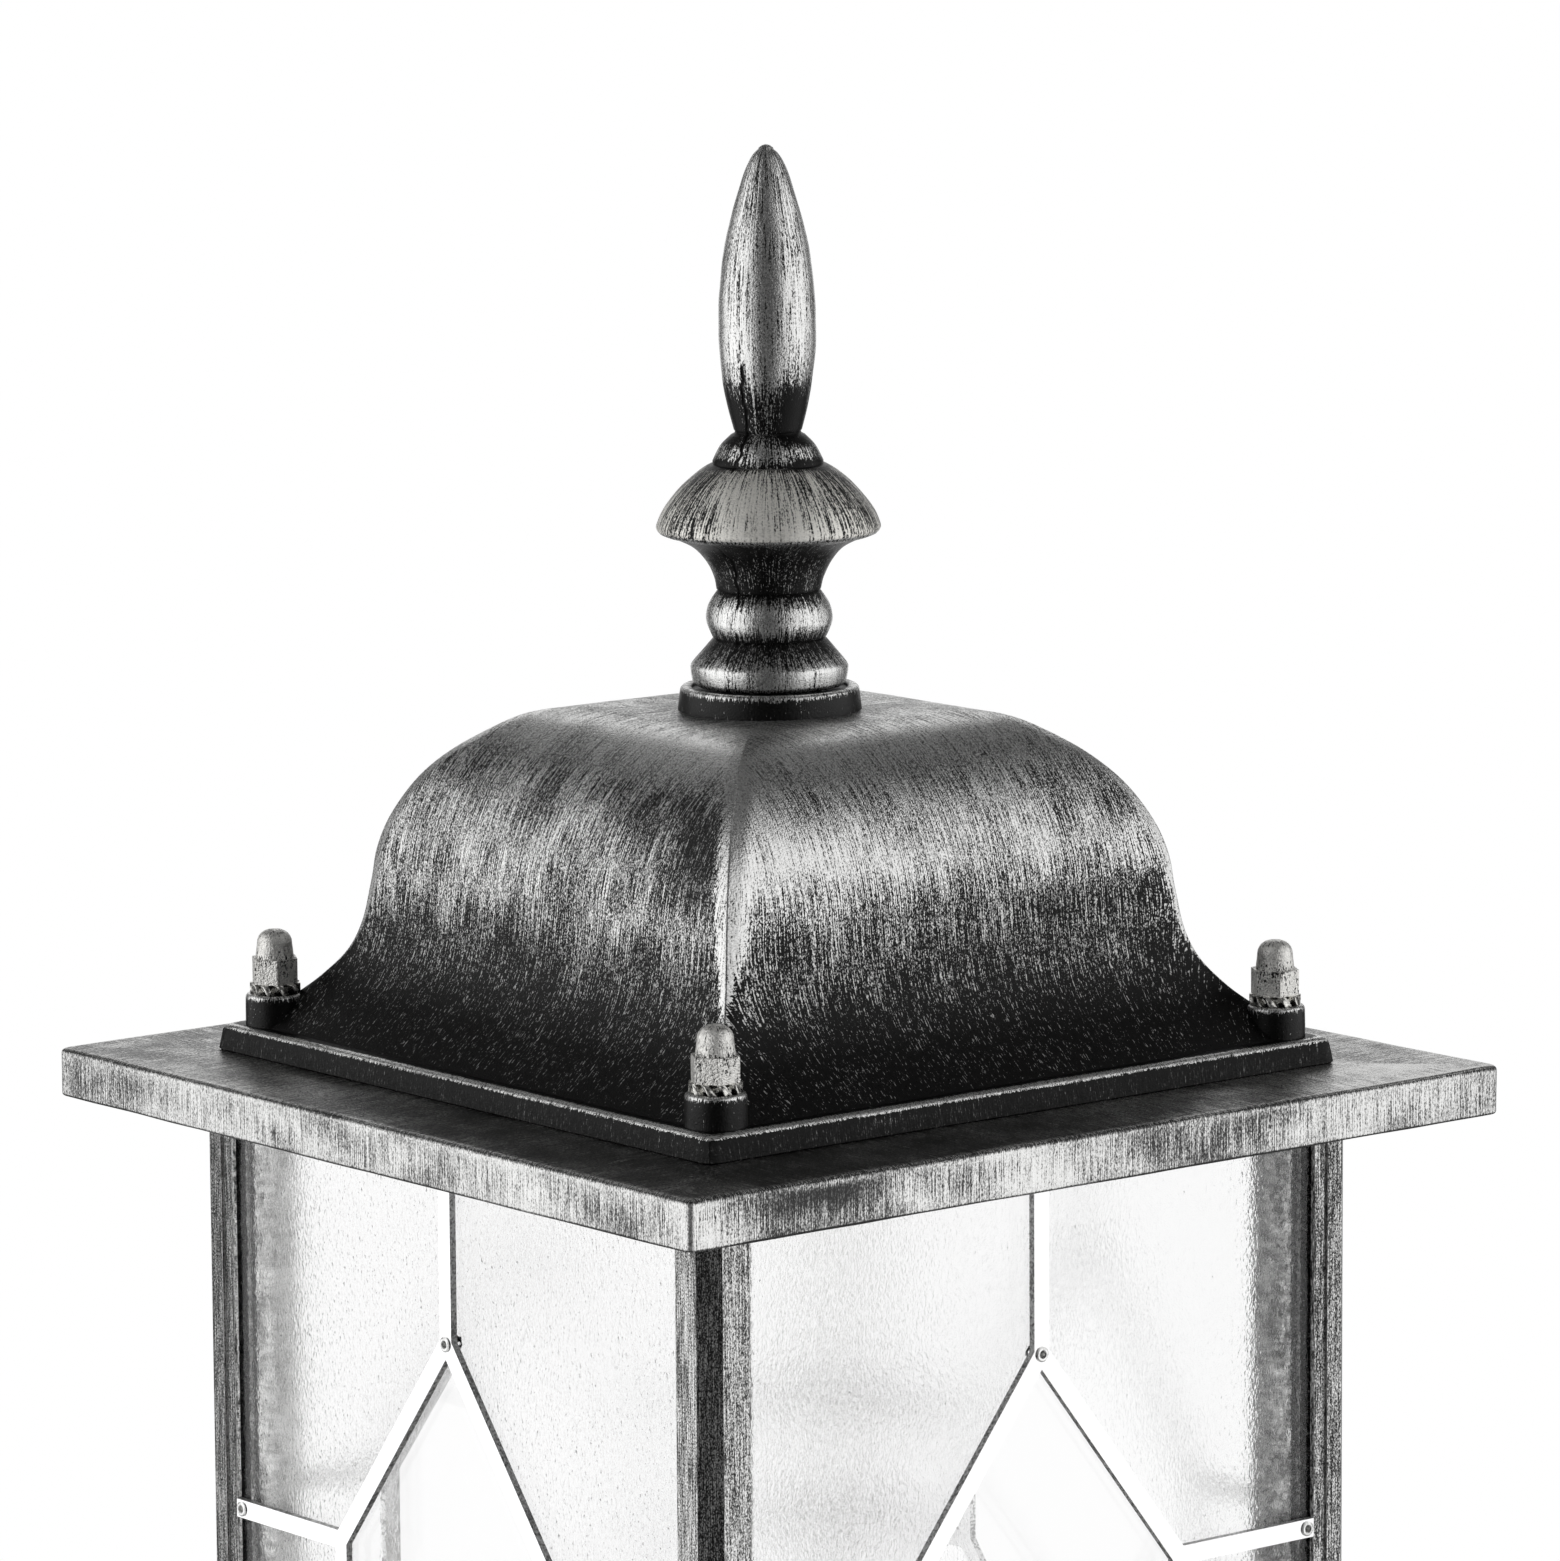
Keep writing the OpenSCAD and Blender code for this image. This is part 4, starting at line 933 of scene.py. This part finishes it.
def came_piece(node_name, out):
    out = np.array(out, float)

    def pick(mid, no):
        return np.where(np.abs(no @ out) > 0.8, 0, 1)

    def lift(bm):
        """A hair of sealer between the strips and the glass."""
        o = Vector(out)
        for v in bm.verts:
            if (v.co - Vector(HEAD * MM)).dot(o) < 0.07486:
                v.co += o * 0.00004

    return soften(node_name, node_name + "_strips", 0.22, 2, 40, plain_paint, mats=[M_CAME, M_CAME_SIDE], pick=pick, lift=lift)


came_piece("came_front", (0, -1, 0))
came_piece("came_right", (1, 0, 0))
came_piece("came_back", (0, 1, 0))
came_piece("came_left", (-1, 0, 0))

# ---------------------------------------------------------------- CAD nodes that stay, with their finish

KEEP = {
    "pane_front": M_GLASS_X, "pane_back": M_GLASS_X, "pane_left": M_GLASS_Y, "pane_right": M_GLASS_Y,
    "came_rivets": M_RIVET, "roof_gasket": M_RUBBER, "wall_gasket": M_RUBBER, "lampholder_body": M_PORCELAIN,
    "screw_shell": M_BRASS, "centre_contact": M_BRASS, "terminal_tubes": M_BRASS, "terminal_block": M_PLASTIC, "inner_lead": M_SHEATH,
}
hidden = {n for o in bpy.data.objects for n in o.get("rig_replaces", [])}
for n, o in NODES.items():
    if n in hidden:
        continue
    m = KEEP.get(n, M_STEEL)
    o.data.materials.clear()
    o.data.materials.append(m)

# ---------------------------------------------------------------- camera

A, E, ROLL = math.radians(-38.97550), math.radians(8.57462), math.radians(-0.39605)
back = Vector((math.sin(A) * math.cos(E), -math.cos(A) * math.cos(E), math.sin(E)))
right = (-back).cross(Vector((0, 0, 1))).normalized()
up = right.cross(-back)
r2 = right * math.cos(ROLL) + up * math.sin(ROLL)
u2 = -right * math.sin(ROLL) + up * math.cos(ROLL)
cam = bpy.data.objects.new("camera", bpy.data.cameras.new("camera"))
bpy.context.scene.collection.objects.link(cam)
m = Matrix(((r2.x, u2.x, back.x), (r2.y, u2.y, back.y), (r2.z, u2.z, back.z))).to_4x4()
m.translation = Vector((-0.918586, -1.303191, 0.517129))
cam.matrix_world = m
cam.data.sensor_width = 36
cam.data.lens = 184.98
cam.data.clip_start = 0.05
cam.data.clip_end = 50
bpy.context.scene.camera = cam

# ---------------------------------------------------------------- light: a white studio with two broad side softboxes

world = bpy.data.worlds.new("studio")
bpy.context.scene.world = world
world.use_nodes = True
nt = world.node_tree
nt.nodes.clear()
d = nt.nodes.new("ShaderNodeTexCoord").outputs["Generated"]
bx, by = back.x, back.y
ln = math.hypot(bx, by)
bx, by = bx / ln, by / ln
along = vec(nt, "DOT_PRODUCT", d, (bx, by, 0))
side = vec(nt, "DOT_PRODUCT", d, (-by, bx, 0))
z = node(nt, "ShaderNodeSeparateXYZ", {0: d}).outputs[2]
az = calc(nt, "MULTIPLY", calc(nt, "ARCTAN2", side, along), 180 / math.pi)
el = calc(nt, "MULTIPLY", calc(nt, "ARCSINE", z), 180 / math.pi)
aaz = calc(nt, "ABSOLUTE", az)
box = calc(nt, "MULTIPLY", ramp(nt, aaz, 20, 60), ramp(nt, aaz, 110, 135, 1, 0))
box = calc(nt, "MULTIPLY", box, ramp(nt, el, 33, 56, 1, 0))
box = calc(nt, "MULTIPLY", box, ramp(nt, el, -75, -45))
box = calc(nt, "MULTIPLY", box, ramp(nt, az, -5, 5, 1.20, 1.06))
rear = calc(nt, "MULTIPLY", ramp(nt, aaz, 150, 165), ramp(nt, el, 30, 45, 1, 0))
rear = calc(nt, "MULTIPLY", rear, ramp(nt, el, -40, -20))
top = calc(nt, "MULTIPLY", ramp(nt, el, 62, 85), 0.27)
total = calc(nt, "ADD", calc(nt, "ADD", box, rear), calc(nt, "ADD", top, 0.04))
lp = nt.nodes.new("ShaderNodeLightPath")
seen = calc(nt, "MAXIMUM", lp.outputs["Is Camera Ray"], lp.outputs["Is Transmission Ray"])
strength = calc(nt, "ADD", calc(nt, "MULTIPLY", total, calc(nt, "SUBTRACT", 1.0, seen)), seen)
bg = node(nt, "ShaderNodeBackground", {"Color": (1, 1, 1, 1), "Strength": strength})
wo = nt.nodes.new("ShaderNodeOutputWorld")
nt.links.new(bg.outputs[0], wo.inputs["Surface"])
bpy.context.scene.view_settings.view_transform = "Standard"

# ---------------------------------------------------------------- a plain pale floor, well below, fading out at its rim

bm = bmesh.new()
bmesh.ops.create_circle(bm, cap_ends=True, radius=2.2, segments=96)
me = bpy.data.meshes.new("floor")
bm.to_mesh(me)
bm.free()
floor = bpy.data.objects.new("floor", me)
floor.location = (0, 0, -1.0)
bpy.context.scene.collection.objects.link(floor)
mat, nt, bsdf = fresh("floor")
p = nt.nodes.new("ShaderNodeTexCoord").outputs["Object"]
n1 = raw_noise(nt, vec(nt, "MULTIPLY", p, (3, 3, 3)), 3.0, 0.5)
nt.links.new(mix_colour(nt, calc(nt, "MULTIPLY_ADD", n1, 0.5, 0.5, clamp=True), rgb(0.78), rgb(0.84)), bsdf.inputs["Base Color"])
bsdf.inputs["Roughness"].default_value = 0.7
far = ramp(nt, vec(nt, "LENGTH", p, (0, 0, 0)), 0.9, 2.15)
tr = nt.nodes.new("ShaderNodeBsdfTransparent")
mx = nt.nodes.new("ShaderNodeMixShader")
nt.links.new(far, mx.inputs[0])
nt.links.new(bsdf.outputs[0], mx.inputs[1])
nt.links.new(tr.outputs[0], mx.inputs[2])
out = [n for n in nt.nodes if n.bl_idname == "ShaderNodeOutputMaterial"][0]
nt.links.new(mx.outputs[0], out.inputs["Surface"])
floor.data.materials.append(mat)
